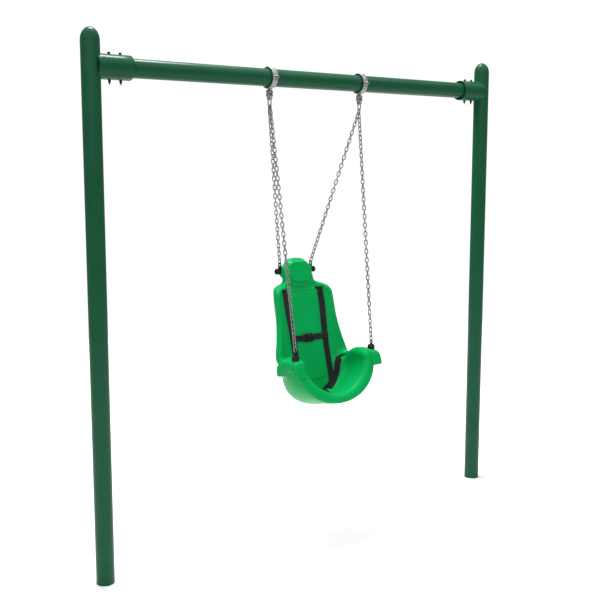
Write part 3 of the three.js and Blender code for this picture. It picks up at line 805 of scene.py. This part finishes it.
def hex_nut(corner, inner, low, high):
    """A nut with chamfered corners."""
    chamfer = 0.9
    profile = [(inner, low), (corner * 0.9, low), (corner, low + chamfer), (corner, high - chamfer),
               (corner * 0.9, high), (inner, high), (inner, low)]
    return lathe(profile, 48, radius_at=hexagon)


def shackle():
    """A bow of wire with an eye at the end of each arm, hanging from its pin, about the rail's axis."""
    low, high = box("left_shackle")
    eye, half = 7.3, 9
    straight = RAIL_Z - low[2] - SHACKLE_WIRE_R - half
    path = [(-half, 0, -z) for z in np.linspace(SHACKLE_DROP, straight, 8)]
    bend = np.linspace(0, math.pi, 25)[1:]
    path += [(-half * math.cos(a), 0, -straight - half * math.sin(a)) for a in bend]
    path += [(half, 0, -z) for z in np.linspace(straight, SHACKLE_DROP, 8)[1:]]
    ring = rounded([(4.1, 0), (4.1, -3), (eye, -3), (eye, 3), (4.1, 3), (4.1, 0)], 0.9, 4)
    eyes = [moved(lathe(ring, 40), (x, 0, -SHACKLE_DROP), TO_X) for x in (-half, half)]
    return together(swept(path, SHACKLE_WIRE_R, 16, start=(0, 1, 0)), *eyes)


def make_hangers():
    reach = EAR_TIP + 2
    skins = (("upper_clamp", "clamp_upper_half", upper_clamp, (17, reach), (0, 57), HARDWARE_CELL),
             ("lower_clamp", "clamp_lower_half", lower_clamp, (17, reach), (-83, 0), HARDWARE_CELL),
             ("pendulum_fork", "pendulum", pendulum, (16, 12), (-117, -58), HARDWARE_CELL / 1.5))
    for side, sign in SIDES:
        place = (sign * HANGER_X, 0, RAIL_Z)

        def fit(name, node, mesh):
            piece(f"{side}_{name}", mesh, "galvanised_steel", f"{side}_{node}")

        for name, node, field, (x, y), (low, high), cell in skins:
            fit(name, node, moved(skinned(field, (-x, -y, low), (x, y, high), cell), place))
        fit("shackle_bow", "shackle", moved(shackle(), place))
        fit("pivot_bolt", "pivot_pin", pin(f"{side}_pivot_pin", 5, 7.8, 3))
        fit("shackle_bolt", "shackle_pin", pin(f"{side}_shackle_pin", 3.6, 5.4, 2.5))
        for end, _ in ENDS:
            low, high = box(f"{side}_clamp_{end}_bolt")
            x, y, _ = (low + high) / 2
            fit(f"{end}_clamp_screw", f"clamp_{end}_bolt", moved(clamp_bolt(low[2], high[2] - 4), (x, y, 0)))
            low, high = box(f"{side}_clamp_{end}_nut")
            nut = moved(hex_nut(5.8, 3.2, low[2], high[2]), (x, y, 0))
            fit(f"{end}_clamp_hex_nut", f"clamp_{end}_nut", nut)


make_hangers()

# ---- chains ----

LINK_PITCH = 24.1
LINK_WIRE_R = 2.75
LINK_HALF_WIDTH = 7.75  # from the middle to a side's axis


def link(pitch):
    """One link along Z, in the XZ plane, with the slight bulge of its weld on one side."""
    straight = pitch / 2 + LINK_WIRE_R - LINK_HALF_WIDTH
    path, radii = [], []
    for turn, z in ((0, straight), (math.pi, -straight)):
        for angle in np.linspace(0, math.pi, 9):
            a = turn + angle
            path.append((LINK_HALF_WIDTH * math.cos(a), 0, z + LINK_HALF_WIDTH * math.sin(a)))
            radii.append(LINK_WIRE_R)
        side = LINK_HALF_WIDTH * math.cos(turn + math.pi)
        path.append((side, 0, 0))
        radii.append(LINK_WIRE_R * (1.1 if turn == 0 else 1.0))
    return swept(path, radii, sides=8, closed=True, start=(0, 1, 0))


def chain(top, bottom, across_top, across_bottom):
    """Links from the middle of the first one's top wire to the middle of the last one's bottom wire. Each is
    turned a quarter from the one above, and what is left between the two ends is shared out as twist."""
    top, bottom = Vector(top), Vector(bottom)
    down = bottom - top
    count = round((down.length - LINK_WIRE_R) / LINK_PITCH)
    pitch = (down.length - 2 * LINK_WIRE_R) / count
    direction = down.normalized()
    first = (Vector(across_top) - direction * direction.dot(Vector(across_top))).normalized()
    last = (Vector(across_bottom) - direction * direction.dot(Vector(across_bottom))).normalized()
    wanted = math.atan2(direction.dot(first.cross(last)), first.dot(last))
    turned = (count - 1) * math.pi / 2
    spare = (wanted - turned + math.pi / 2) % math.pi - math.pi / 2
    vertices, faces = link(pitch)
    meshes = []
    for i in range(count):
        roll = i * (math.pi / 2 + spare / max(count - 1, 1))
        x = Matrix.Rotation(roll, 3, direction) @ first
        turn = Matrix((x, direction.cross(x), direction)).transposed()
        centre = top + direction * (LINK_WIRE_R + pitch * (i + 0.5))
        meshes.append(moved((vertices, faces), centre, turn))
    return together(*meshes)


def make_chains():
    bow_top = box("left_shackle")[0][2] + 2 * SHACKLE_WIRE_R + LINK_WIRE_R
    beside = 2.85  # how far a chain's top is from the middle of the bow
    for side, sign in SIDES:
        ends = (("front", f"front_{side}_eye_bolt", -1, 2 * 3.5), ("rear", f"rear_{side}_loop", 1, 6))
        for end, holder, lean, thick in ends:
            low, high = box(holder)
            foot = (*((low + high) / 2)[:2], high[2] - thick - LINK_WIRE_R)
            top = (sign * (HANGER_X + lean * beside), 0, bow_top)
            links = chain(top, foot, (0, 1, 0), (1, 0, 0))
            piece(f"{end}_{side}_chain_links", links, "chain", f"{end}_{side}_chain")


make_chains()

# ---- seat shell ----

SEAT_CELL = 3.8
LEAN = 0.25  # how far the back goes rearwards for each unit of height
LEAN_COS = 1 / math.hypot(1, LEAN)
BACK_THICK = 44
WRAP = 26  # how far the back's side edges stand forward of its middle

# The back's half width at each height, from its foot to the top of the headrest.
BACK_OUTLINE = [(738, 96), (760, 138), (800, 168), (860, 184), (900, 197), (926, 226), (948, 239), (975, 238),
                (1040, 221), (1140, 203), (1230, 197), (1275, 195), (1306, 189), (1326, 174), (1337, 150),
                (1345, 122), (1354, 106), (1385, 97), (1420, 91), (1446, 80), (1468, 58), (1480, 30),
                (1483, 0)]

# The seat leans as a whole, so the bucket's sections are parallel to the back. A section's place is how far
# it is in front of (-) or behind (+) the plane through y = 0 at SECTION_Z.
SECTION_Z = 918

# The bucket from front to rear: place, outer half width, outer bottom, inner half width, inner bottom, top.
BUCKET = [(-210, 262, 739, 206, 791, 983), (-155, 264, 727, 206, 778, 987), (-90, 258, 714, 208, 762, 984),
          (-30, 240, 701, 204, 744, 964), (30, 214, 690, 186, 728, 930), (75, 190, 683, 164, 718, 900)]
BUCKET_FRONT, BUCKET_REAR = -205, 62
RIM_ROLL = 40  # the rounding from the front rim into the bucket
RIM_EDGE = 14  # the rounding of the rim's outer edge


def curve(points):
    """A smooth function through (place, value) points: a cubic between them that doesn't overshoot."""
    x, y = np.array(points, float).T
    step = np.diff(y) / np.diff(x)
    tangent = np.concatenate(([step[0]], (step[:-1] + step[1:]) / 2, [step[-1]]))
    tangent[1:-1][step[:-1] * step[1:] <= 0] = 0
    fine = np.linspace(x[0], x[-1], 400)
    i = np.clip(np.searchsorted(x, fine, side="right") - 1, 0, len(step) - 1)
    width = x[i + 1] - x[i]
    t = (fine - x[i]) / width
    value = (y[i] * (1 + 2 * t) * (1 - t) ** 2 + y[i + 1] * t * t * (3 - 2 * t)
             + width * tangent[i] * t * (1 - t) ** 2 - width * tangent[i + 1] * t * t * (1 - t))
    return lambda place: np.interp(place, fine, value)


def outline_table(points, cell=2.0):
    """Distance to a closed outline, mirrored in x = 0, from a table over (|x|, z)."""
    half_width = curve(points)
    heights = np.linspace(points[0][0], points[-1][0], 260)
    edge = np.stack([half_width(heights), heights], 1)
    edge = np.concatenate([[[0, heights[0]]], edge])
    low = np.array([0.0, points[0][0] - 60])
    counts = (int((max(p[1] for p in points) + 90) / cell), int((points[-1][0] - low[1] + 60) / cell))
    gx, gz = (low[i] + cell * np.indices(counts)[i] for i in (0, 1))
    best = np.full(gx.shape, 1e9)
    for (ax, az), (bx, bz) in zip(edge, edge[1:]):
        ux, uz = bx - ax, bz - az
        t = np.clip(((gx - ax) * ux + (gz - az) * uz) / max(ux * ux + uz * uz, 1e-9), 0, 1)
        best = np.minimum(best, (gx - ax - t * ux) ** 2 + (gz - az - t * uz) ** 2)
    inside = (gz > points[0][0]) & (gz < points[-1][0]) & (gx < half_width(gz))
    table = np.sqrt(best) * np.where(inside, -1, 1)

    def read(ax, z):
        u = np.clip((ax - low[0]) / cell, 0, counts[0] - 1.001)
        v = np.clip((z - low[1]) / cell, 0, counts[1] - 1.001)
        i, j = u.astype(int), v.astype(int)
        u, v = u - i, v - j
        return ((table[i, j] * (1 - u) + table[i + 1, j] * u) * (1 - v)
                + (table[i, j + 1] * (1 - u) + table[i + 1, j + 1] * u) * v)

    return read


back_outline = outline_table(BACK_OUTLINE)
back_half_width = curve(BACK_OUTLINE)
bucket_at = [curve([(row[0], row[i]) for row in BUCKET]) for i in range(1, 6)]


def back_y(z):
    """The back's front face on the centre line."""
    return 120 + LEAN * (z - 1311)


def back_relief(ax, z):
    """How far the back's front face stands forward of its plain surface."""
    edge = back_outline(ax, z)
    panel = np.hypot(np.maximum(ax - 46, 0), np.maximum(np.abs(z - 1062) - 206, 0)) - 30
    raised = 3.7 * (1 - smooth_step(panel, -4, 3))
    pad_u, pad_v = ax / 74, (z - 1411) / 60
    pad_shape = (pad_u**4 + pad_v**4) ** 0.25
    pad = 11 * (1 - smooth_step(pad_shape, 0.86, 1.0)) - 2.5 * np.exp(-(((pad_shape - 1.07) / 0.06) ** 2))
    beside = 1 - smooth_step(ax, 96, 128)
    cove = -13 * np.exp(-(((z - 1331) / 13) ** 2)) * beside
    step = -2.2 * np.exp(-(((z - 1298) / 4.5) ** 2)) * (1 - smooth_step(ax, 84, 104))
    shoulder = 7 * (1 - smooth_step(-edge, 16, 34)) * smooth_step(z, 1150, 1290)
    shoulder *= 1 - smooth_step(z, 1330, 1350)
    border = 3.5 * (1 - smooth_step(-edge, 14, 40)) * (1 - smooth_step(z, 1150, 1290))
    track = -4.5 * (1 - smooth_step(np.abs(ax - 120), 22, 34)) * smooth_step(z, 800, 860)
    track *= 1 - smooth_step(z, 1316, 1326)
    return raised + pad * (z > 1335) + cove + step + shoulder + border + track


def back_field(ax, y, z):
    wrap = WRAP * np.minimum(ax / np.maximum(back_half_width(z), 60), 1.15) ** 3
    wrap *= 1 - smooth_step(z, 1296, 1350)
    n = (y - back_y(z) + wrap) * LEAN_COS
    slab = np.maximum(-(n + back_relief(ax, z)), n - BACK_THICK)
    edge = back_outline(ax, z)
    r = 15
    a, b = slab + r, edge + r
    return np.sqrt(np.maximum(a, 0) ** 2 + np.maximum(b, 0) ** 2) + np.minimum(np.maximum(a, b), 0) - r


def u_section(ax, z, half, bottom, power, share):
    """Distance to the U of a bucket wall: upright sides that turn into a rounded bottom."""
    rise = half * share
    u = ax / half
    v = np.maximum(bottom + rise - z, 0) / rise
    s = np.maximum((u**power + v**power) ** (1 / power), 0.05)
    grow = s ** (1 - power) * np.hypot(u ** (power - 1) / half, v ** (power - 1) / rise)
    return (s - 1) / np.maximum(grow, 0.3 / half)


def section_place(y, z):
    return y - LEAN * (z - SECTION_Z)


def bucket_field(ax, y, z):
    place = section_place(y, z)
    outer_half, outer_low, inner_half, inner_low, top = [at(place) for at in bucket_at]
    outer = u_section(ax, z, outer_half, outer_low, 2.0, 0.763)
    inner = u_section(ax, z, inner_half, inner_low, 1.8, 0.80)
    front = (BUCKET_FRONT - place) * LEAN_COS
    shell = soft_max(outer, front, RIM_EDGE)
    cavity = soft_max(-inner, front, RIM_ROLL)
    wall = soft_max(shell, cavity, 26)
    wall = soft_max(wall, z - top, 34)
    return soft_max(wall, (place - BUCKET_REAR) * LEAN_COS, 20)


LIP_TOP = curve([(-235, 975), (-205, 985), (-165, 987), (-120, 985), (-90, 980), (-70, 971), (-50, 955),
                 (-30, 930)])
LIP_FOOT = curve([(-235, 902), (-214, 908), (-190, 922), (-155, 931), (-122, 926), (-92, 908), (-65, 889),
                  (-38, 887)])
LIP_FRONT, LIP_REAR = -220, -37
LIP_INNER, LIP_OUTER = 236, 301


def lip_field(ax, y, z):
    """The flange that overhangs the top of each side wall: rounded over its edge, with an arched foot."""
    place = section_place(y, z)
    top, foot = LIP_TOP(place), LIP_FOOT(place)
    d = soft_max(z - top, ax - LIP_OUTER, 40)
    d = soft_max(d, LIP_FRONT - place, 14)
    d = soft_max(d, place - LIP_REAR, 14)
    d = soft_max(d, foot - z, 9)
    return soft_max(d, LIP_INNER - ax, 8)


REAR_Y, REAR_Z = middle("rear_left_knob_bolt")[1:]
FRONT_X, FRONT_Y = abs(middle("front_left_collar")[0]), middle("front_left_collar")[1]
FRONT_Z = box("front_left_insert")[1][2]
EAR_X, EAR_Y, EAR_Z, EAR_R = 104, 182, 1413, 29  # an ear's end and its round outline
SLOT_X, SLOT_Z = 122, 1311  # of a shoulder strap's slot
HIP_X, HIP_Z = 188, 927  # of a lap strap's slot
BASE_Z = 746  # of the wide slot at the foot of the back


def ear_field(ax, y, z):
    """The ear on each side of the headrest, which the rear fitting is bolted through."""
    u, v = (y - EAR_Y) / 0.66, z - EAR_Z
    shape = (np.sqrt(u * u + v * v) - EAR_R) * 0.7
    return soft_max(soft_max(shape, ax - EAR_X, 7), 60 - ax, 4)


def seat_field(x, y, z):
    ax = np.abs(x)
    d = soft_min(back_field(ax, y, z), bucket_field(ax, y, z), 34)
    d = soft_min(d, lip_field(ax, y, z), 24)
    d = soft_min(d, ear_field(ax, y, z), 16)
    slot = round_box(ax - SLOT_X, (y - 130) / 3, z - SLOT_Z, (24, 30, 5.5), 5)
    base_slot = round_box(ax, y - 15, z - BASE_Z, (66, 62, 15), 13)
    hip = 0.5 * (ax - HIP_X) - (z - HIP_Z)
    hip_slot = round_box((ax - HIP_X) * 0.9, y - 40, hip * 0.9, (18, 62, 5.5), 5)
    d = cut(cut(cut(d, slot, 8), base_slot, 14), hip_slot, 8)
    bore = cylinder(ax - FRONT_X, y - FRONT_Y, z - FRONT_Z, 9.8, 36)
    return cut(d, bore)


def make_seat_shell():
    low, high = box("seat_shell")
    mesh = skinned(seat_field, low - 8, high + 8, SEAT_CELL)
    piece("seat_shell_moulding", mesh, "green_plastic", "seat_shell", sharp=180)


make_seat_shell()

# ---- chain-end fittings on the seat ----

FITTING_CELL = 0.9
EYE_R, EYE_WIRE_R = 9, 3.5
EYE_DROP = EYE_R + EYE_WIRE_R  # from the top of an eye to its middle


def lobes(count, depth, low=-1e9):
    """Scales a round profile down between this many soft lobes, above a height."""

    def scale(angles, height):
        hollow = (0.5 + 0.5 * np.cos(count * angles)) ** 2
        return 1 - (depth if height > low else 0) * hollow

    return scale


def front_collar(low, high):
    """A lobed knob that holds the eye bolt down on the arm lip."""
    r, foot, top = (high[0] - low[0]) / 2, low[2], high[2]
    corners = [(5.4, foot + 9), (5.4, foot), (r - 2.5, foot), (r, foot + 4), (r, top - 11),
               (r - 2.5, top - 6), (r - 7, top - 1), (8, top), (5.4, top), (5.4, foot + 9)]
    return lathe(rounded(corners, 3), 96, radius_at=lobes(8, 0.09))


def eye_bolt(x, y, z):
    """From the threaded end, which is below 0, up to the eye. The eye's hole is along X."""
    eye = np.hypot(np.hypot(y, z - EYE_HEIGHT) - EYE_R, x) - EYE_WIRE_R
    thread = 0.3 * np.cos(z * 2 * math.pi / 1.75) * (z < -1)
    shank = cylinder(x, y, z - 5, 4.6 + thread, 31, 0.8)
    return soft_min(eye, shank, 5)


def front_insert(low, high):
    """A threaded insert with barbs that hold it in the plastic."""
    r, bore, barbs = (high[0] - low[0]) / 2, 5.9, 6
    pitch = (high[2] - low[2] - 3) / barbs
    profile = [(bore, low[2] + 1), (bore, low[2]), (r - 2, low[2])]
    for i in range(barbs):
        z = low[2] + 1 + i * pitch
        profile += [(r - 1.4, z), (r - 0.1, z + pitch * 0.8), (r - 1.4, z + pitch)]
    profile += [(r, high[2] - 1.6), (r, high[2]), (bore, high[2]), (bore, low[2] + 1)]
    return lathe(profile, 48)


def rear_loop(x, y, z):
    """A flat loop with the bolt's hole at 0 and the chain's hole above it."""
    d = soft_max(np.abs(x) - 3.5, stadium(y, z, 0, LOOP_RISE, 13), 4)
    d = cut(d, cylinder(y, z, x, 7.6, 30))
    return cut(d, cylinder(y, z - LOOP_RISE, x, 7, 30), 4)


def knob_bolt(tip, knob, end, r):
    profile = rounded([(0, tip), (6, tip), (7, tip + 1.5), (7, knob), (r - 3, knob), (r, knob + 4),
                       (r, end - 7), (r - 4, end - 2), (0, end)], 3)
    return lathe(profile, 72, radius_at=lobes(6, 0.08, low=knob - 0.5))


EYE_HEIGHT = box("front_left_eye_bolt")[1][2] - EYE_DROP - FRONT_Z
LOOP_RISE = box("rear_left_loop")[1][2] - 13 - REAR_Z


def make_fittings():
    for side, sign in SIDES:
        front, rear = f"front_{side}", f"rear_{side}"
        x, y, _ = middle(f"{front}_collar")
        collar = moved(front_collar(*box(f"{front}_collar")), (x, y, 0))
        piece(f"{front}_lobed_collar", collar, "black_fitting", f"{front}_collar")
        bolt = skinned(eye_bolt, (-6, -13, -28), (6, 13, EYE_HEIGHT + EYE_DROP), FITTING_CELL)
        piece(f"{front}_forged_eye", moved(bolt, (x, y, FRONT_Z)), "black_fitting", f"{front}_eye_bolt")
        insert = moved(front_insert(*box(f"{front}_insert")), (x, y, 0))
        piece(f"{front}_barbed_insert", insert, "galvanised_steel", f"{front}_insert")
        loop = skinned(rear_loop, (-4, -14, -14), (4, 14, LOOP_RISE + 14), FITTING_CELL)
        loop_x = middle(f"{rear}_loop")[0]
        piece(f"{rear}_chain_loop", moved(loop, (loop_x, REAR_Y, REAR_Z)), "black_fitting", f"{rear}_loop")
        low, high = box(f"{rear}_knob_bolt")
        tip, end = sorted((abs(low[0]), abs(high[0])))
        bolt = knob_bolt(tip, abs(loop_x) + 3.5 + 0.4, end, (high[2] - low[2]) / 2)
        turn = TO_X if sign > 0 else HALF_TURN @ TO_X
        bolt = moved(bolt, (0, REAR_Y, REAR_Z), turn)
        piece(f"{rear}_lobed_knob", bolt, "black_fitting", f"{rear}_knob_bolt")


make_fittings()

# ---- harness ----

STRAP_THICK = 2.6
STRAP_STEP = 4.0
SHOULDER_WIDTH, LAP_WIDTH = 38, 34  # the chest strap is as wide as the lap straps
# (place across from -1 to 1, share of the thickness) over a strap's face: thin at the selvedges
STRAP_FACE = [(-1, 0.3), (-0.965, 0.75), *((0.3 * i, 1) for i in range(-3, 4)), (0.965, 0.75), (1, 0.3)]


def unit(vectors):
    return vectors / np.maximum(np.linalg.norm(vectors, axis=-1, keepdims=True), 1e-9)


def catmull_rom(points, step):
    """Points about this far apart on a smooth curve through the given ones, with any values past z."""
    points = np.array(points, float)
    padded = np.concatenate([[2 * points[0] - points[1]], points, [2 * points[-1] - points[-2]]])
    out = []
    for a, b, c, d in zip(padded, padded[1:], padded[2:], padded[3:]):
        count = max(2, round(np.linalg.norm((c - b)[:3]) / step))
        for t in np.arange(count) / count:
            out.append(0.5 * (2 * b + (c - a) * t + (2 * a - 5 * b + 4 * c - d) * t**2
                              + (3 * b - a - 3 * c + d) * t**3))
    out.append(points[-1])
    return np.array(out)


def settle(points, lift, share, passes=6):
    """Points moved along the seat's slope until they are lift away from its surface, by share of the way."""
    settled = points.copy()
    for _ in range(passes):
        gradient = slope(seat_field, settled, 1.0)
        steep = np.maximum((gradient**2).sum(1), 0.3)
        gap = seat_field(*settled.T) - lift
        settled -= gradient * np.clip(gap / steep, -8, 8)[:, None]
    return points + (settled - points) * share[:, None]


def smoothed(values, passes):
    for _ in range(passes):
        values[1:-1] = (values[:-2] + 2 * values[1:-1] + values[2:]) / 4
    return values


def strap(route, width, across):
    """Webbing along a route of (x, y, z, lift, laid): where laid is 1 it lies on the seat, lift above it, and
    where it is 0 it is free. Its width is along across, or along the surface. Returns the mesh, each vertex's
    place on the strap, and the strap's track for the stitches."""
    line = catmull_rom(route, STRAP_STEP)
    centre, lift, laid = line[:, :3], line[:, 3], np.clip(line[:, 4], 0, 1)
    centre = smoothed(settle(centre, lift, laid), 6)
    tangent = unit(np.gradient(centre, axis=0))
    out = unit(slope(seat_field, centre, 3.0))
    side = unit(np.cross(tangent, out))
    side *= np.sign((side * np.array(across)).sum(1))[:, None]
    side = side * laid[:, None] + np.array(across) * (1 - laid[:, None])
    side = unit(smoothed(unit(side - tangent * (side * tangent).sum(1)[:, None]), 8))
    normal = unit(np.cross(side, tangent))
    normal *= np.sign((normal * np.array([0, -1, 0.2])).sum(1).mean())
    count = len(centre)
    face = []
    for place, _ in STRAP_FACE:
        edge = centre + side * place * width / 2
        wanted = settle(edge, lift, laid)
        shift = np.clip(((wanted - edge) * normal).sum(1), -5, 5) * abs(place)
        face.append(edge + normal * smoothed(shift, 8)[:, None])
    along = np.concatenate([[0], np.cumsum(np.linalg.norm(np.diff(centre, axis=0), axis=1))])
    rings, places = [], []
    for way in (1, -1):
        order = range(len(STRAP_FACE)) if way > 0 else reversed(range(len(STRAP_FACE)))
        for i in order:
            place, share = STRAP_FACE[i]
            rings.append(face[i] + normal * way * share * STRAP_THICK / 2)
            places.append(np.stack([along * MM, np.full(count, (place + 1) * width / 2 * MM), 0 * along], 1))
    loop = len(rings)
    vertices = np.stack(rings, 1).reshape(-1, 3)
    faces = ring_faces(count, loop)
    for base in (0, (count - 1) * loop):
        for j in range(loop // 2 - 1):
            corners = [base + j, base + j + 1, base + loop - 2 - j, base + loop - 1 - j]
            faces.append(corners if base == 0 else corners[::-1])
    mesh = facing_out(vertices, faces)
    track = {"centre": centre, "side": side, "normal": normal, "along": along, "width": width}
    return mesh, np.stack(places, 1).reshape(-1, 3), track


def sewn(name, route, width, across, node, rides=True):
    mesh, places, track = strap(route, width, across)
    made = piece(name, mesh, "webbing", node, sharp=50, rides=rides)
    attribute = made.data.attributes.new(WEAVE, "FLOAT_VECTOR", "POINT")
    attribute.data.foreach_set("vector", places.astype(np.float32).ravel())
    return made, track


def stitch():
    """One stitch along X: a flattened thread whose ends dive into the cloth."""
    path = [(-1.7, 0, -0.45), (-1.2, 0, 0.1), (0, 0, 0.28), (1.2, 0, 0.1), (1.7, 0, -0.45)]
    return swept(path, [0.25, 0.42, 0.45, 0.42, 0.25], sides=6, start=(0, 1, 0))


def stitches(track, runs):
    """Rows of stitches on a strap; a run goes from one (along, across) place in millimetres to another."""
    template, meshes = stitch(), []
    for start, end in runs:
        start, end = np.array(start, float), np.array(end, float)
        count = max(2, round(np.linalg.norm(end - start) / 4.2))
        for share in (np.arange(count) + 0.5) / count:
            along, across = start + (end - start) * share
            i = int(np.clip(np.searchsorted(track["along"], along), 1, len(track["along"]) - 1))
            t = (along - track["along"][i - 1]) / (track["along"][i] - track["along"][i - 1])
            names = ("centre", "side", "normal")
            centre, side, normal = (track[name][i - 1] * (1 - t) + track[name][i] * t for name in names)
            forward = unit(np.cross(normal, side))
            forward *= np.sign((forward * (track["centre"][i] - track["centre"][i - 1])).sum())
            heading = (end - start) / np.linalg.norm(end - start)
            x = unit(forward * heading[0] + side * heading[1])
            z = unit(normal - x * (normal * x).sum())
            turn = np.stack([x, np.cross(z, x), z], 1)
            place = centre + side * across + normal * STRAP_THICK / 2
            meshes.append(moved(template, place, turn))
    return together(*meshes)


def box_stitch(start, end, half):
    """A rectangle with its diagonals."""
    a, b, c, d = (start, -half), (end, -half), (end, half), (start, half)
    return [(a, b), (b, c), (c, d), (d, a), (a, c), (b, d)]


SHOULDER_LIFT, CHEST_LIFT, LAP_LIFT = 1.9, 5.4, 1.7
CHEST_Z = middle("right_chest_strap")[2]
CHEST_Y = middle("buckle_socket")[1]
BUCKLE_X = (box("buckle_socket")[1][0] + box("buckle_tongue")[0][0]) / 2


def shoulder_route(sign):
    """Out of its slot, down the back, round into the bucket and out through the base slot."""
    rear = back_y(SLOT_Z) + BACK_THICK
    through = ((rear + 14, -26, 0, 0), (rear + 12, -6, 0, 0), (rear, 0, 0, 0), (back_y(SLOT_Z) + 8, 0, 0, 0),
               (back_y(SLOT_Z) - 1, -5, 2, 0.4))
    points = [(SLOT_X, y, SLOT_Z + drop, lift, laid) for y, drop, lift, laid in through]
    down = ((122, 1292), (124, 1240), (119, 1155), (113, 1070), (111, 1010), (111, 930), (111, 870),
            (110, 836))
    points += [(x, back_y(z), z, SHOULDER_LIFT, 1) for x, z in down]
    points += [(106, -19, 806, 3, 1), (93, -26, 787, 4, 1), (74, -24, 771, 3, 0.7), (57, -10, 758, 0, 0),
               (46, 12, 751, 0, 0), (46, 42, 749, 0, 0)]
    return [(sign * x, y, z, lift, laid) for x, y, z, lift, laid in points]


def lap_route(sign):
    """Out of its hip slot and down behind the shoulder strap."""
    points = [(197, 62, 931, 0, 0), (190, 30, 927, 0, 0), (176, 4, 922, 0, 0), (164, -3, 912, 2, 0.6),
              (155, -6, 888, LAP_LIFT, 1), (147, -10, 857, LAP_LIFT, 1), (134, -14, 830, LAP_LIFT, 1),
              (116, -20, 804, LAP_LIFT, 1), (96, -24, 784, LAP_LIFT, 1)]
    return [(sign * x, y, z, lift, laid) for x, y, z, lift, laid in points]


def chest_route(sign):
    """Sewn across a shoulder strap's front, then straight to the buckle, over its bar and into its slot."""
    grip = BUCKLE_X + sign * 30
    surface = back_y(CHEST_Z)
    return [(sign * 131, surface, CHEST_Z, CHEST_LIFT, 1), (sign * 111, surface, CHEST_Z, CHEST_LIFT, 1),
            (sign * 92, surface - 4, CHEST_Z, CHEST_LIFT, 0.8), (sign * 76, CHEST_Y + 1.5, CHEST_Z, 0, 0),
            (grip + sign * 14, CHEST_Y, CHEST_Z, 0, 0), (grip + sign * 4, CHEST_Y - 4, CHEST_Z, 0, 0),
            (grip - sign * 2, CHEST_Y - 8.3, CHEST_Z, 0, 0), (grip - sign * 4.6, CHEST_Y - 6, CHEST_Z, 0, 0),
            (grip - sign * 5.6, CHEST_Y + 1, CHEST_Z, 0, 0)]


def make_harness():
    level = (1, 0, 0)
    up = tuple(unit(np.array([0, LEAN, 1.0])))
    for side, sign in SIDES:

        def sew_down(name, track, seams):
            piece(f"{side}_{name}_stitches", stitches(track, seams), "webbing", body="swing", material=THREAD)

        node = f"{side}_shoulder_strap"
        _, track = sewn(f"{side}_shoulder_webbing", shoulder_route(sign), SHOULDER_WIDTH, level, node)
        length = track["along"][-1]
        seams = [((length - 190, across), (length - 215, across)) for across in (-14, -5, 5, 14)]
        sew_down("shoulder", track, box_stitch(6, 22, 15) + seams)
        across, node = (0.9 * sign, -0.3, -0.3), f"{side}_lap_strap"
        _, track = sewn(f"{side}_lap_webbing", lap_route(sign), LAP_WIDTH, across, node)
        sew_down("lap", track, [((90, place), (118, place)) for place in (-12, 12)])
        node = f"{side}_chest_strap"
        crosses = side == "left"  # this half ends on the tongue, which moves
        made, track = sewn(f"{side}_chest_webbing", chest_route(sign), LAP_WIDTH, up, node, rides=not crosses)
        sew_down("chest", track, box_stitch(5, 33, 13))
        if crosses:
            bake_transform(made)


# ---- buckle ----

BAR_SLOT = (24.5, 1.9, 18.5)  # the webbing slot by a grip bar: place, half width, half height


def bar_slot(x, y, z):
    place, half_width, half_height = BAR_SLOT
    return round_box(x - place, y, z, (half_width, 20, half_height), 1.5)


def socket_body(x, y, z):
    """The half with the mouth, in the buckle's own frame: X away from the mouth, -Y to the front."""
    crown = 1.6 * ((x - 8) / 22) ** 2 + 1.2 * (z / 25) ** 2
    d = round_box(x - 11, y, z, (19, 6.9 - crown, 24.6 - 1.5 * smooth_step(x, 12, 30)), 3.6)
    rib = round_box(x - 9, y + 5.6, z, (8.5, 1.3, 7), 1.2)
    d = soft_min(d, rib, 2.5)
    grooves = np.abs(y + 7.2) - 1.1 + 0 * x
    for place in (17.5, 20.2):
        d = cut(d, np.maximum(grooves, round_box(x - place, 0 * y, z, (0.55, 9, 12), 0.5)), 0.8)
    d = cut(d, round_box(x - 3, y, z, (15, 3.9, 17.9), 1.2))
    d = cut(d, round_box(x - 8, y, np.abs(z) - 24, (7, 20, 5.5), 3.5), 2)
    return cut(d, bar_slot(x, y, z), 1.6)


def tongue_body(x, y, z):
    """The half with the centre guide and the two prongs; its grip bar is at -X."""
    crown = 1.6 * ((x + 8) / 22) ** 2 + 1.2 * (z / 25) ** 2
    d = round_box(x + 19.2, y, z, (10.7, 6.9 - crown, 22.8 - 1.2 * smooth_step(-x, 16, 30)), 3.6)
    d = cut(d, bar_slot(-x, y, z), 1.6)
    guide = round_box(x + 1, y, z, (12.5, 2.9, 2.9), 1.2)
    prong = round_box(x, y, np.abs(z) - 12.6 - 0.05 * x, (13.6, 2.9, 2.1), 1.1)
    barb = round_box(x - 8.5, y, np.abs(z) - 14.2, (4.8, 2.9, 3.0), 1.6)
    return soft_min(soft_min(d, guide, 4), soft_min(prong, barb, 3), 3)


def make_buckle():
    place, turn = (BUCKLE_X, CHEST_Y, CHEST_Z), Matrix.Rotation(-math.atan(LEAN), 3, "X")
    halves = (("socket", socket_body, (-9, -8, -26), (31, 8, 26)),
              ("tongue", tongue_body, (-31, -8, -24), (15, 8, 24)))
    for half, field, low, high in halves:
        mesh = moved(skinned(field, low, high, FITTING_CELL * 0.9), place, turn)
        piece(f"buckle_{half}_body", mesh, "black_plastic", f"buckle_{half}")


make_harness()
make_buckle()
